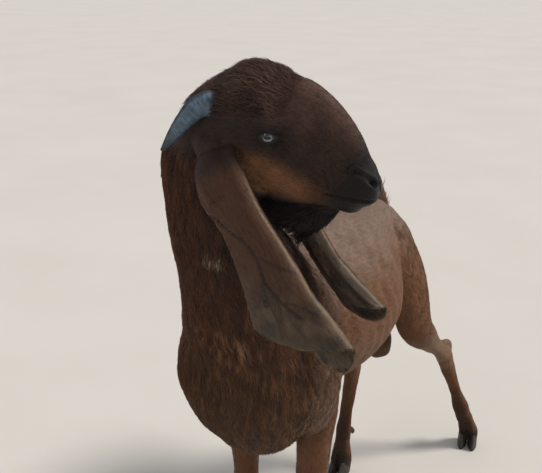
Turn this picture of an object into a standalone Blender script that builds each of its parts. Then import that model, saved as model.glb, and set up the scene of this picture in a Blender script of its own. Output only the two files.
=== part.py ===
"""A Sirohi goat, standing, with its head turned to its left and its long ears swung forward.

Metres, +Z up. The goat faces -Y, its left side is +X, and the floor is z = 0.
The flesh is modelled whole, from lofts along a few measured rows, and then parted with thin cuts.
"""

import math

import bmesh
import bpy
import numpy as np
from mathutils import Matrix, Vector

# Driving dimensions, in metres
WITHERS_HEIGHT = 0.80
HEAD_LENGTH = 0.255
EYEBALL_RADIUS = 0.0145
GAP = 0.0003

# The rows below are written for a goat of this height, and SIZE brings them to the one wanted.
ROWS_HEIGHT = 0.84
SIZE = WITHERS_HEIGHT / ROWS_HEIGHT

# How finely the flesh is made before it is parted
VOXEL = 0.0030
FLESH_TRIANGLES = 10200
HEAD_CARE = 0.0024

# The head's own frame: forward to the nose, left, and up, from the poll
HEAD_ORIGIN = Vector((0.019, -0.441, 1.071)) * SIZE
HEAD_FORWARD = Vector((0.969, 0.174, -0.178)).normalized()
HEAD_LEFT = HEAD_FORWARD.cross(Vector((-0.211, 0.194, -0.958))).normalized()
HEAD_UP = HEAD_FORWARD.cross(HEAD_LEFT).normalized()
HEAD_ROWS_LENGTH = 0.268
HEAD_SIZE = HEAD_LENGTH / HEAD_ROWS_LENGTH

# Trunk: y, height of the widest level, half width, height above it, depth below it, narrowing upward
TRUNK_ROWS = (
    (-0.435, 0.580, 0.030, 0.050, 0.040, 0.00),
    (-0.418, 0.582, 0.094, 0.130, 0.092, 0.00),
    (-0.370, 0.590, 0.132, 0.175, 0.158, 0.03),
    (-0.310, 0.595, 0.140, 0.200, 0.199, 0.10),
    (-0.245, 0.600, 0.140, 0.214, 0.196, 0.20),
    (-0.180, 0.605, 0.138, 0.234, 0.187, 0.30),
    (-0.110, 0.600, 0.140, 0.218, 0.173, 0.26),
    (-0.020, 0.595, 0.147, 0.204, 0.167, 0.18),
    (0.060, 0.598, 0.149, 0.192, 0.169, 0.14),
    (0.125, 0.608, 0.136, 0.180, 0.161, 0.14),
    (0.185, 0.628, 0.106, 0.158, 0.138, 0.16),
    (0.240, 0.645, 0.086, 0.134, 0.118, 0.16),
    (0.290, 0.654, 0.070, 0.108, 0.100, 0.10),
    (0.330, 0.658, 0.052, 0.076, 0.078, 0.00),
    (0.352, 0.660, 0.026, 0.040, 0.042, 0.00),
)
# How much the chest narrows towards the breastbone behind the elbows
TRUNK_KEEL = 0.20

# Neck: x, y, z, half width, depth to the throat, depth to the nape, share of the head's turn
NECK_ROWS = (
    (0.000, -0.165, 0.570, 0.142, 0.205, 0.120, 0.00),
    (0.000, -0.250, 0.665, 0.144, 0.205, 0.112, 0.00),
    (-0.003, -0.333, 0.770, 0.122, 0.150, 0.106, 0.15),
    (-0.006, -0.392, 0.865, 0.093, 0.104, 0.098, 0.40),
    (-0.004, -0.420, 0.945, 0.080, 0.100, 0.091, 0.75),
    (0.004, -0.430, 1.005, 0.071, 0.096, 0.094, 1.00),
    (0.012, -0.434, 1.045, 0.060, 0.078, 0.082, 1.00),
    (0.016, -0.436, 1.072, 0.042, 0.050, 0.054, 1.00),
)

# Skull: forward, top, bottom, half width, height of the widest level, narrowing towards the jaw
HEAD_ROWS = (
    (-0.066, 0.010, -0.050, 0.026, -0.012, 0.00),
    (-0.052, 0.034, -0.080, 0.045, -0.010, 0.00),
    (-0.025, 0.070, -0.096, 0.055, 0.006, 0.10),
    (0.015, 0.104, -0.104, 0.060, 0.022, 0.20),
    (0.050, 0.121, -0.108, 0.061, 0.034, 0.32),
    (0.085, 0.126, -0.107, 0.060, 0.038, 0.34),
    (0.115, 0.124, -0.103, 0.055, 0.032, 0.28),
    (0.145, 0.117, -0.097, 0.048, 0.018, 0.18),
    (0.175, 0.103, -0.089, 0.0415, 0.004, 0.10),
    (0.205, 0.079, -0.080, 0.0370, -0.010, 0.05),
    (0.230, 0.049, -0.073, 0.0340, -0.020, 0.00),
    (0.248, 0.017, -0.064, 0.0300, -0.026, 0.00),
    (0.263, -0.004, -0.054, 0.0240, -0.029, 0.00),
    (0.270, -0.020, -0.043, 0.0140, -0.032, 0.00),
)

# Legs: x outward, y, z, half width, depth behind, depth in front
FORELEG_TOP = (
    (0.078, -0.225, 0.640, 0.040, 0.075, 0.085),
    (0.090, -0.240, 0.570, 0.052, 0.080, 0.085),
    (0.090, -0.228, 0.500, 0.046, 0.074, 0.076),
    (0.086, -0.212, 0.440, 0.042, 0.058, 0.058),
)
# The front legs below the elbow, from the elbow's place: z, inward lean share, half width, behind, front
FORELEG_BELOW = (
    (0.390, 0.0385, 0.044, 0.045),
    (0.340, 0.0335, 0.036, 0.037),
    (0.295, 0.0280, 0.029, 0.030),
    (0.260, 0.0285, 0.0275, 0.0295),
    (0.232, 0.0250, 0.0250, 0.0260),
    (0.198, 0.0188, 0.0207, 0.0192),
    (0.155, 0.0178, 0.0200, 0.0180),
    (0.122, 0.0210, 0.0240, 0.0205),
    (0.102, 0.0235, 0.0260, 0.0230),
    (0.078, 0.0205, 0.0205, 0.0205),
)
ELBOW_LEVEL = 0.440
KNEE_LEVEL = 0.260
FETLOCK_LEVEL = 0.102
CORONET_LEVEL = 0.040

# Where each hoof stands: x, y, and how far its toes turn outward, in degrees
HOOF_PLACES = {
    "front_left": (0.103, -0.272, 6.0),
    "front_right": (-0.070, -0.270, 6.0),
    "hind_left": (0.216, 0.502, 14.0),
    "hind_right": (-0.046, 0.200, 6.0),
}
KNEE_PLACES = {"front_left": (0.090, -0.246), "front_right": (-0.060, -0.246)}

# Hind legs, each joint in its own place: x, y, z
HIND_JOINTS = {
    "hind_left": {
        "hip": (0.040, 0.246, 0.680),
        "stifle": (0.124, 0.236, 0.470),
        "hock": (0.146, 0.440, 0.298),
        "fetlock": (0.194, 0.484, 0.126),
    },
    "hind_right": {
        "hip": (-0.040, 0.246, 0.680),
        "stifle": (-0.098, 0.165, 0.475),
        "hock": (-0.056, 0.284, 0.285),
        "fetlock": (-0.050, 0.226, 0.120),
    },
}

# Ears: how thick they are, and for each its root in the head's frame, the lean of its plane from the
# vertical in degrees, its side, how far it stands off the neck, swings out, turns and bulges, and the
# radius of its front fold. Across the ear, from the rear edge to the curl: how long it is. Along it: how
# far it reaches back and forward from its root's line, and how wide the curl behind the fold is.
EAR_THICKNESS = 0.0052
EARS = {
    "ear_right": {
        "root": (0.024, -0.064, -0.019),
        "lean": 42.0,
        "outward": -1.0,
        "stand_off": 0.040,
        "swing": 0.0,
        "twist": 0.0,
        "bulge": 0.010,
        "fold": 0.0125,
        "lengths": (
            (0.0, 0.247),
            (0.10, 0.268),
            (0.215, 0.289),
            (0.373, 0.317),
            (0.492, 0.336),
            (0.624, 0.353),
            (0.684, 0.362),
            (0.786, 0.378),
            (0.913, 0.379),
            (1.0, 0.352),
        ),
        "rear": (
            (0.0, 0.046),
            (0.05, 0.048),
            (0.095, 0.042),
            (0.13, 0.050),
            (0.165, 0.065),
            (0.21, 0.090),
            (0.25, 0.116),
            (0.40, 0.120),
        ),
        "front": (
            (0.0, 0.044),
            (0.06, 0.040),
            (0.11, 0.033),
            (0.17, 0.028),
            (0.21, 0.023),
            (0.26, 0.018),
            (0.40, 0.015),
        ),
        "curl": ((0.0, 0.018), (0.10, 0.020), (0.20, 0.036), (0.30, 0.060), (0.40, 0.070)),
    },
    "ear_left": {
        "root": (0.024, 0.064, -0.019),
        "lean": 42.0,
        "outward": 1.0,
        "stand_off": 0.058,
        "swing": 0.12,
        "twist": 0.10,
        "bulge": 0.022,
        "fold": 0.0085,
        "lengths": (
            (0.0, 0.345),
            (0.08, 0.376),
            (0.20, 0.397),
            (0.35, 0.401),
            (0.50, 0.395),
            (0.62, 0.385),
            (0.80, 0.372),
            (1.0, 0.350),
        ),
        "rear": (
            (0.0, 0.032),
            (0.05, 0.048),
            (0.12, 0.080),
            (0.20, 0.108),
            (0.29, 0.120),
            (0.34, 0.120),
            (0.42, 0.110),
        ),
        "front": (
            (0.0, 0.032),
            (0.05, 0.020),
            (0.12, -0.020),
            (0.20, -0.055),
            (0.28, -0.066),
            (0.34, -0.058),
            (0.42, -0.042),
        ),
        "curl": ((0.0, 0.014), (0.20, 0.018), (0.42, 0.022)),
    },
}

# Horns, in the head's frame, for the left side: forward, left, up, half width, half thickness
HORN_ROWS = (
    (0.024, 0.026, 0.048, 0.0210, 0.0130),
    (0.008, 0.044, 0.066, 0.0200, 0.0125),
    (-0.008, 0.057, 0.062, 0.0175, 0.0110),
    (-0.022, 0.069, 0.044, 0.0140, 0.0090),
    (-0.036, 0.080, 0.020, 0.0095, 0.0065),
    (-0.050, 0.090, -0.008, 0.0035, 0.0030),
)

# The beard under the jaw: forward, up, half width, half depth
BEARD_ROWS = (
    (0.190, -0.066, 0.022, 0.030),
    (0.184, -0.096, 0.018, 0.026),
    (0.174, -0.122, 0.012, 0.020),
    (0.164, -0.144, 0.005, 0.008),
)

# Where the flesh is parted: a point, the way the part lies from it, and the slab's half sizes
TAIL_CUT = (-0.022, 0.349, 0.735)
TAIL_CUT_FACING = (-0.35, 0.45, 0.82)
SCROTUM_CUT = (0.014, 0.260, 0.468)
HEAD_CUT = (-0.062, 0.0, 0.0)
NECK_CUT = (0.0, -0.315, 0.735)
NECK_CUT_FACING = (0.0, -0.60, 0.80)
LEG_CUTS = {
    "front_left": ((0.090, -0.222, 0.440), (0.773, 0.0, -0.634), (0.095, 0.104)),
    "front_right": ((-0.090, -0.222, 0.440), (-0.773, 0.0, -0.634), (0.095, 0.104)),
    "hind_left": ((0.100, 0.240, 0.539), (0.394, 0.473, -0.788), (0.125, 0.065)),
    "hind_right": ((-0.100, 0.200, 0.513), (-0.394, 0.473, -0.788), (0.125, 0.070)),
}

# The claws: level, length, width, and how far each ring lies back; and how steeply their top slopes
CLAW_RINGS = (
    (0.000, 0.060, 0.0250, -0.003),
    (0.010, 0.059, 0.0256, -0.001),
    (0.022, 0.054, 0.0252, 0.003),
    (0.034, 0.048, 0.0240, 0.007),
)
CORONET_SLOPE = 0.26
CLAW_MIDDLE = 0.0140

EYE_PLACE = (0.101, 0.0470, 0.042)
EYE_LOOK = (0.30, 0.93, 0.12)
EYE_HALF_LENGTH = 0.0118
EYE_UPPER = 0.0078
EYE_LOWER = 0.0058

TAIL_ROWS = (
    (0.000, 0.300, 0.680, 0.024, 0.020, 0.020),
    (-0.008, 0.334, 0.708, 0.022, 0.016, 0.016),
    (-0.024, 0.350, 0.738, 0.021, 0.012, 0.012),
    (-0.040, 0.356, 0.768, 0.018, 0.009, 0.009),
    (-0.054, 0.354, 0.798, 0.011, 0.006, 0.006),
    (-0.060, 0.352, 0.812, 0.004, 0.003, 0.003),
)

SCROTUM_ROWS = (
    (0.010, 0.250, 0.560, 0.030, 0.030, 0.030),
    (0.012, 0.256, 0.500, 0.022, 0.020, 0.020),
    (0.014, 0.260, 0.458, 0.024, 0.022, 0.022),
    (0.015, 0.264, 0.415, 0.040, 0.034, 0.034),
    (0.016, 0.266, 0.380, 0.043, 0.036, 0.036),
    (0.016, 0.266, 0.355, 0.034, 0.028, 0.028),
    (0.016, 0.265, 0.342, 0.014, 0.012, 0.012),
)


def clear_scene():
    for obj in list(bpy.data.objects):
        bpy.data.objects.remove(obj, do_unlink=True)


def material(name, colour, roughness):
    made = bpy.data.materials.new(name)
    made.use_nodes = True
    shader = made.node_tree.nodes["Principled BSDF"]
    shader.inputs["Base Color"].default_value = (*colour, 1.0)
    shader.inputs["Roughness"].default_value = roughness
    return made


def through(rows, count):
    """A smooth run of `count` rows through the given ones, spaced as their first three values are."""
    rows = np.array(rows, float)
    steps = np.linalg.norm(np.diff(rows[:, :3], axis=0), axis=1) ** 0.5
    knots = np.concatenate([[0.0], np.cumsum(steps)])
    slopes = np.gradient(rows, knots, axis=0)
    places = np.linspace(0.0, knots[-1], count)
    index = np.clip(np.searchsorted(knots, places, side="right") - 1, 0, len(knots) - 2)
    span = (knots[index + 1] - knots[index])[:, None]
    t = ((places - knots[index])[:, None]) / span
    return (
        rows[index] * (2 * t**3 - 3 * t**2 + 1)
        + slopes[index] * span * (t**3 - 2 * t**2 + t)
        + rows[index + 1] * (3 * t**2 - 2 * t**3)
        + slopes[index + 1] * span * (t**3 - t**2)
    )


def read_off(table, value):
    """The value of a two-column table at a place, in a straight line between its rows."""
    columns = np.array(table, float)
    return np.interp(value, columns[:, 0], columns[:, 1])


def add_rings(bm, rings):
    """Closes a run of rings of points into one body."""
    made = [[bm.verts.new(point) for point in ring] for ring in rings]
    sides = len(made[0])
    for near, far in zip(made, made[1:]):
        for k in range(sides):
            bm.faces.new((near[k], near[(k + 1) % sides], far[(k + 1) % sides], far[k]))
    bm.faces.new(made[0][::-1])
    bm.faces.new(made[-1])


def add_loft(bm, rows, side=(1.0, 0.0, 0.0), count=36, sides=28, sides_of_rows=None):
    """A loft of ellipse halves: each row is x, y, z, half width, depth on one side, depth on the other."""
    rows = through(rows, count)
    centres = rows[:, :3]
    tangents = np.gradient(centres, axis=0)
    rings = []
    for k, row in enumerate(rows):
        tangent = Vector(tangents[k]).normalized()
        across = Vector(side if sides_of_rows is None else sides_of_rows(row))
        across = (across - tangent * across.dot(tangent)).normalized()
        outward = across.cross(tangent)
        ring = []
        for j in range(sides):
            angle = 2 * math.pi * j / sides
            depth = row[4] if math.sin(angle) > 0 else row[5]
            ring.append(
                Vector(centres[k]) + across * row[3] * math.cos(angle) + outward * depth * math.sin(angle)
            )
        rings.append([point * SIZE for point in ring])
    add_rings(bm, rings)


def add_ball(bm, centre, radii):
    made = bmesh.ops.create_uvsphere(bm, u_segments=24, v_segments=16, radius=1.0)
    for vertex in made["verts"]:
        vertex.co = Vector(v * r + c for v, r, c in zip(vertex.co, radii, centre)) * SIZE


def add_trunk(bm):
    rings = []
    sides = 40
    for y, level, half_width, above, below, narrowing in through(TRUNK_ROWS, 60):
        keel = TRUNK_KEEL * math.exp(-(((y + 0.14) / 0.13) ** 2))
        ring = []
        for k in range(sides):
            angle = 2 * math.pi * k / sides
            rise = math.sin(angle)
            width = half_width * (1.0 - narrowing * max(rise, 0.0) - keel * max(-rise, 0.0))
            height = rise * (above if rise > 0 else below)
            ring.append(Vector((width * math.cos(angle), y, level + height)) * SIZE)
        rings.append(ring)
    add_rings(bm, rings)


def add_neck(bm):
    def across(row):
        return Vector((1.0, 0.0, 0.0)).lerp(HEAD_LEFT, min(max(row[6], 0.0), 1.0))

    add_loft(bm, NECK_ROWS, count=44, sides=36, sides_of_rows=across)


def head_point(forward, left, up):
    """A point given in the head's own frame."""
    local = HEAD_FORWARD * forward + HEAD_LEFT * left + HEAD_UP * up
    return HEAD_ORIGIN + local * HEAD_SIZE


def add_skull(bm):
    rings = []
    sides = 48
    for forward, top, bottom, half_width, level, narrowing in through(HEAD_ROWS, 64):
        ring = []
        for k in range(sides):
            angle = 2 * math.pi * k / sides
            rise = math.sin(angle)
            up = level + rise * ((top - level) if rise > 0 else (level - bottom))
            width = half_width * (1.0 - narrowing * min(rise, 0.0) ** 2)
            ring.append(head_point(forward, width * math.cos(angle), up))
        rings.append(ring)
    add_rings(bm, rings)


def add_ball_in_head(bm, centre, radii):
    made = bmesh.ops.create_uvsphere(bm, u_segments=24, v_segments=16, radius=1.0)
    for vertex in made["verts"]:
        vertex.co = head_point(*(v * r + c for v, r, c in zip(vertex.co, radii, centre)))


def add_head(bm):
    add_skull(bm)
    for side in (-1.0, 1.0):
        forward, left, up = EYE_PLACE
        add_ball_in_head(bm, (forward, side * left, up), (0.0215, 0.0185, 0.0190))
        add_ball_in_head(bm, (0.055, side * 0.030, -0.055), (0.050, 0.022, 0.040))
        add_ball_in_head(bm, (0.010, side * 0.052, -0.004), (0.026, 0.022, 0.030))
        add_ball_in_head(bm, (0.232, side * 0.016, -0.004), (0.020, 0.014, 0.018))
        add_ball_in_head(bm, (0.016, side * 0.032, 0.060), (0.036, 0.026, 0.026))
    add_ball_in_head(bm, (0.050, 0.0, 0.101), (0.034, 0.050, 0.022))
    add_ball_in_head(bm, (0.224, 0.0, -0.064), (0.026, 0.022, 0.015))
    add_ball_in_head(bm, (0.115, 0.0, -0.102), (0.075, 0.034, 0.036))
    add_beard(bm)


def add_beard(bm):
    rings = []
    for forward, up, half_width, half_depth in through(BEARD_ROWS, 14):
        ring = []
        for k in range(20):
            angle = 2 * math.pi * k / 20
            ring.append(
                head_point(forward + half_depth * math.cos(angle), half_width * math.sin(angle), up)
            )
        rings.append(ring)
    add_rings(bm, rings)


def leg_rows(name):
    """The rows of one leg, from inside the body down to the pastern."""
    side = 1.0 if name.endswith("left") else -1.0
    hoof_x, hoof_y, _ = HOOF_PLACES[name]
    if name.startswith("front"):
        knee_x, knee_y = KNEE_PLACES[name]
        rows = [(side * x, y, z, *rest) for x, y, z, *rest in FORELEG_TOP]
        elbow_x, elbow_y = rows[-1][0], rows[-1][1]
        for z, *rest in FORELEG_BELOW:
            above = np.interp(z, (KNEE_LEVEL, ELBOW_LEVEL), (0.0, 1.0))
            below = np.interp(z, (FETLOCK_LEVEL, KNEE_LEVEL), (1.0, 0.0))
            x = knee_x + (elbow_x - knee_x) * above + (hoof_x - knee_x) * below
            y = knee_y + (elbow_y - knee_y) * above
            y += (hoof_y + 0.018 - knee_y) * max(below - 0.8, 0.0)
            rows.append((x, y, z, *rest))
        return rows
    joints = {key: Vector(place) for key, place in HIND_JOINTS[name].items()}
    hip, stifle, hock, fetlock = (joints[key] for key in ("hip", "stifle", "hock", "fetlock"))
    pastern = fetlock.lerp(Vector((hoof_x, hoof_y, CORONET_LEVEL)), 0.45)
    back = Vector((0.0, 1.0, 0.0))
    return [
        (*(hip + Vector((0.0, 0.0, 0.045))), 0.030, 0.040, 0.045),
        (*(hip + back * 0.010), 0.046, 0.072, 0.072),
        (*(hip.lerp(stifle, 0.35) + back * 0.016), 0.054, 0.086, 0.084),
        (*(hip.lerp(stifle, 0.72) + back * 0.014), 0.050, 0.078, 0.072),
        (*(stifle.lerp(hock, 0.05) + back * 0.004), 0.040, 0.060, 0.050),
        (*stifle.lerp(hock, 0.34), 0.032, 0.040, 0.034),
        (*stifle.lerp(hock, 0.66), 0.0220, 0.0270, 0.0235),
        (*stifle.lerp(hock, 0.88), 0.0200, 0.0245, 0.0225),
        (*hock, 0.0225, 0.0285, 0.0255),
        (*hock.lerp(fetlock, 0.18), 0.0205, 0.0260, 0.0230),
        (*hock.lerp(fetlock, 0.42), 0.0180, 0.0215, 0.0195),
        (*hock.lerp(fetlock, 0.78), 0.0180, 0.0205, 0.0185),
        (*fetlock, 0.0235, 0.0260, 0.0225),
        (*pastern, 0.0205, 0.0205, 0.0205),
    ]


def toe_frame(name):
    """Where one foot stands, with its forward and outward directions on the floor."""
    x, y, turn = HOOF_PLACES[name]
    side = 1.0 if name.endswith("left") else -1.0
    angle = math.radians(turn) * side
    forward = Vector((math.sin(angle), -math.cos(angle), 0.0))
    across = Vector((math.cos(angle), math.sin(angle), 0.0))
    return Vector((x, y, 0.0)), forward, across


def add_leg(bm, name):
    rows = leg_rows(name)
    add_loft(bm, rows, count=70, sides=24)
    place, forward, across = toe_frame(name)
    pastern = Vector(rows[-1][:3])
    for toe in (-1.0, 1.0):
        coronet = place - forward * 0.008 + across * 0.0135 * toe + Vector((0, 0, CORONET_LEVEL))
        foot = place - forward * 0.002 + across * 0.0140 * toe + Vector((0, 0, 0.014))
        start = pastern + across * 0.006 * toe + Vector((0, 0, 0.012))
        add_loft(
            bm,
            (
                (*start, 0.0150, 0.0185, 0.0185),
                (*start.lerp(coronet, 0.55), 0.0140, 0.0200, 0.0200),
                (*coronet, 0.0132, 0.0235, 0.0245),
                (*foot, 0.0125, 0.0220, 0.0250),
            ),
            side=across,
            count=16,
            sides=20,
        )
        fetlock = Vector(rows[-2][:3])
        dewclaw = fetlock - forward * 0.026 + across * 0.011 * toe + Vector((0, 0, -0.012))
        add_ball(bm, dewclaw, (0.0075, 0.0085, 0.0125))


def add_hock_point(bm, name):
    """The heel bone stands out behind the hock, and the tendon runs up from it to the calf."""
    joints = {key: Vector(place) for key, place in HIND_JOINTS[name].items()}
    shin = (joints["stifle"] - joints["hock"]).normalized()
    heel = joints["hock"] + Vector((0.0, 0.024, 0.022))
    calf = joints["hock"] + shin * 0.140 + Vector((0.0, 0.014, 0.004))
    add_loft(
        bm,
        (
            (*(joints["hock"] + Vector((0.0, 0.014, -0.020))), 0.0140, 0.016, 0.016),
            (*heel, 0.0125, 0.0135, 0.0135),
            (*heel.lerp(calf, 0.45), 0.0085, 0.0095, 0.0095),
            (*calf, 0.0120, 0.0150, 0.0150),
        ),
        count=18,
        sides=18,
    )


def read_smooth(table, value):
    """The value of a two-column table at a place, on a smooth line through its rows."""
    places, values = np.array(table, float).T
    slopes = np.gradient(values, places)
    value = min(max(value, places[0]), places[-1])
    k = min(int(np.searchsorted(places, value, side="right")) - 1, len(places) - 2)
    span = places[k + 1] - places[k]
    t = (value - places[k]) / span
    return (
        values[k] * (2 * t**3 - 3 * t**2 + 1)
        + slopes[k] * span * (t**3 - 2 * t**2 + t)
        + values[k + 1] * (3 * t**2 - 2 * t**3)
        + slopes[k + 1] * span * (t**3 - t**2)
    )


def ear_axes(ear):
    """The ways down and forward in the ear's plane, and out of it."""
    lean = math.radians(ear["lean"])
    down = Vector((math.sin(lean), 0.0, -math.cos(lean)))
    front = Vector((math.cos(lean), 0.0, math.sin(lean)))
    return down, front, Vector((0.0, ear["outward"], 0.0))


def ear_point(ear, across, along):
    """A point of the ear's middle surface: across runs from the rear edge, over the fold, to the curl."""
    down, front, outward = ear_axes(ear)
    t = along * read_smooth(ear["lengths"], across)
    rear, fore, curl = (read_smooth(ear[key], t) for key in ("rear", "front", "curl"))
    radius = ear["fold"] * min(1.0, 0.55 + t / 0.12)
    flat = rear + fore - radius
    arc = math.pi * radius
    place = across * (flat + arc + curl)
    bulge = ear["bulge"] * min(1.0, 0.3 + t / 0.15) * math.sin(math.pi * min(place / (flat + arc), 1.0))
    if place < flat:
        reach, depth = place - rear, -bulge
    elif place < flat + arc:
        angle = (place - flat) / radius
        reach, depth = flat - rear + radius * math.sin(angle), radius * (1 - math.cos(angle)) - bulge
    else:
        back = place - flat - arc
        reach, depth = flat - rear - back, 2 * radius + 0.06 * back
    if ear["twist"] == 0.0:
        depth += 0.016 * (reach / 0.11) ** 2 * (t / 0.3)
    root = head_point(*ear["root"]) / SIZE
    off = ear["stand_off"] * (1.0 - math.exp(-t / 0.035)) + ear["swing"] * t - 0.012 * (t / 0.3) ** 2
    off -= ear["twist"] * reach
    return (root + down * (t - 0.006) + front * (reach + 0.004) + outward * (off - depth)) * SIZE


def add_ear(bm, ear):
    """The ear is an open sheet, folded along its front, and given its thickness by Solidify."""
    sheet = bmesh.new()
    rows, columns = 40, 44
    grid = [
        [sheet.verts.new(ear_point(ear, j / columns, i / rows)) for j in range(columns + 1)]
        for i in range(rows + 1)
    ]
    for i in range(rows):
        for j in range(columns):
            sheet.faces.new((grid[i][j], grid[i][j + 1], grid[i + 1][j + 1], grid[i + 1][j]))
    data = bpy.data.meshes.new("ear_sheet")
    sheet.to_mesh(data)
    sheet.free()
    obj = bpy.data.objects.new("ear_sheet", data)
    bpy.context.scene.collection.objects.link(obj)
    thick = obj.modifiers.new("Solidify", "SOLIDIFY")
    thick.thickness = EAR_THICKNESS * SIZE
    thick.offset = 0.0
    bm.from_mesh(evaluated_mesh(obj))
    bpy.data.objects.remove(obj)
    root = Vector(ear["root"])
    down, front, outward = ear_axes(ear)
    start = head_point(root.x, root.y * 0.55, root.z) / SIZE
    rim = head_point(*root) / SIZE
    upper, lower = (
        front * ((read_smooth(ear["front"], t) - read_smooth(ear["rear"], t)) / 2.0) for t in (0.022, 0.052)
    )
    add_loft(
        bm,
        (
            (*start, 0.030, 0.026, 0.026),
            (*(rim + outward * 0.006), 0.032, 0.022, 0.022),
            (*(rim + outward * 0.030 + down * 0.022 + upper), 0.030, 0.012, 0.012),
            (*(rim + outward * 0.040 + down * 0.052 + lower), 0.024, 0.006, 0.006),
        ),
        side=tuple(front),
        count=18,
        sides=20,
    )


def evaluated_mesh(obj):
    graph = bpy.context.evaluated_depsgraph_get()
    graph.update()
    return bpy.data.meshes.new_from_object(obj.evaluated_get(graph))


def object_from(name, data, collection):
    obj = bpy.data.objects.new(name, data)
    collection.objects.link(obj)
    return obj


def points_of(data):
    points = np.empty(len(data.vertices) * 3)
    data.vertices.foreach_get("co", points)
    return points.reshape(-1, 3)


def edges_of(data):
    edges = np.empty(len(data.edges) * 2, np.int64)
    data.edges.foreach_get("vertices", edges)
    return edges.reshape(-1, 2)


def relax(points, edges, rounds, share):
    """Evens the surface out, each point by its share, and then swells it back so that nothing thins."""
    ends = np.concatenate([edges, edges[:, ::-1]])
    count = np.bincount(ends[:, 0], minlength=len(points))[:, None]
    for _ in range(rounds):
        for pull in (0.55, -0.50):
            total = np.stack(
                [np.bincount(ends[:, 0], points[ends[:, 1], k], len(points)) for k in range(3)], 1
            )
            points = points + pull * share[:, None] * (total / count - points)
    return points


def in_head_frame(points):
    local = (points - np.array(HEAD_ORIGIN)) / HEAD_SIZE
    axes = np.array([HEAD_FORWARD, HEAD_LEFT, HEAD_UP])
    return local @ axes.T


def bump(points, centre, radii):
    """1 at the centre, falling smoothly to 0 over the radii."""
    return np.exp(-(((points - centre) / radii) ** 2).sum(1))


def beside_line(points, start, end):
    """How far each point is from a line's stretch, and how far along it, from 0 to 1."""
    start, end = np.array(start, float), np.array(end, float)
    run = end - start
    along = np.clip(((points - start) @ run) / (run @ run), 0.0, 1.0)
    return np.linalg.norm(points - start - along[:, None] * run, axis=1), along


def head_relief(points):
    """How far the head's surface stands out or in, in the head's frame."""
    local = in_head_frame(points)
    mirrored = np.abs(local * np.array([0.0, 1.0, 0.0])) + local * np.array([1.0, 0.0, 1.0])
    near = np.exp(-((np.maximum(np.abs(local[:, 0] - 0.12) - 0.17, 0) / 0.01) ** 2))
    near *= np.abs(local[:, 1]) < 0.085
    relief = np.zeros(len(points))
    relief += 0.0050 * bump(mirrored, (0.098, 0.060, 0.064), (0.026, 0.020, 0.012))
    relief -= 0.0060 * bump(mirrored, (0.128, 0.052, 0.030), (0.020, 0.020, 0.022))
    relief -= 0.0045 * bump(mirrored, (0.060, 0.064, 0.048), (0.020, 0.020, 0.022))
    relief += 0.0035 * bump(mirrored, (0.120, 0.046, -0.012), (0.040, 0.020, 0.012))
    relief -= 0.0025 * bump(mirrored, (0.165, 0.042, -0.035), (0.035, 0.020, 0.020))
    relief -= 0.0030 * bump(local, (0.118, 0.000, 0.106), (0.012, 0.030, 0.020))
    relief += 0.0015 * bump(mirrored, (0.246, 0.021, 0.000), (0.012, 0.012, 0.008))
    relief += 0.0020 * bump(mirrored, (0.262, 0.012, -0.026), (0.012, 0.016, 0.010))
    relief -= 0.0030 * bump(local, (0.268, 0.000, -0.022), (0.010, 0.0035, 0.016))
    mouth_level = -0.0375 - 0.12 * np.maximum(0.225 - local[:, 0], 0.0)
    in_mouth = 1.0 / (1.0 + np.exp((0.196 - local[:, 0]) / 0.004))
    relief -= 0.0042 * in_mouth * np.exp(-(((local[:, 2] - mouth_level) / 0.0030) ** 2))
    away, along = beside_line(mirrored, (0.236, 0.026, 0.006), (0.262, 0.012, -0.011))
    relief -= (0.004 + 0.006 * along) * np.exp(-((away / (0.0030 + 0.0028 * along)) ** 2))
    return relief * near


def body_relief(points):
    """The trunk's and legs' bones, hollows and creases."""
    place = points / SIZE
    mirrored = np.abs(place * np.array([1.0, 0.0, 0.0])) + place * np.array([0.0, 1.0, 1.0])
    relief = 0.0090 * bump(mirrored, (0.078, 0.205, 0.765), (0.026, 0.032, 0.026))
    relief -= 0.0150 * bump(mirrored, (0.115, 0.150, 0.715), (0.050, 0.045, 0.050))
    relief += 0.0050 * bump(mirrored, (0.060, 0.335, 0.700), (0.026, 0.026, 0.030))
    relief += 0.0070 * bump(mirrored, (0.130, -0.335, 0.560), (0.040, 0.035, 0.040))
    relief -= 0.0070 * bump(mirrored, (0.120, -0.130, 0.640), (0.040, 0.030, 0.110))
    relief -= 0.0100 * bump(place, (0.000, -0.425, 0.500), (0.018, 0.050, 0.080))
    relief += 0.0040 * bump(place, (0.000, -0.030, 0.800), (0.014, 0.260, 0.050))
    return relief


def normals_of(data):
    normals = np.empty(len(data.vertices) * 3)
    data.vertices.foreach_get("normal", normals)
    return normals.reshape(-1, 3)


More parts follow.
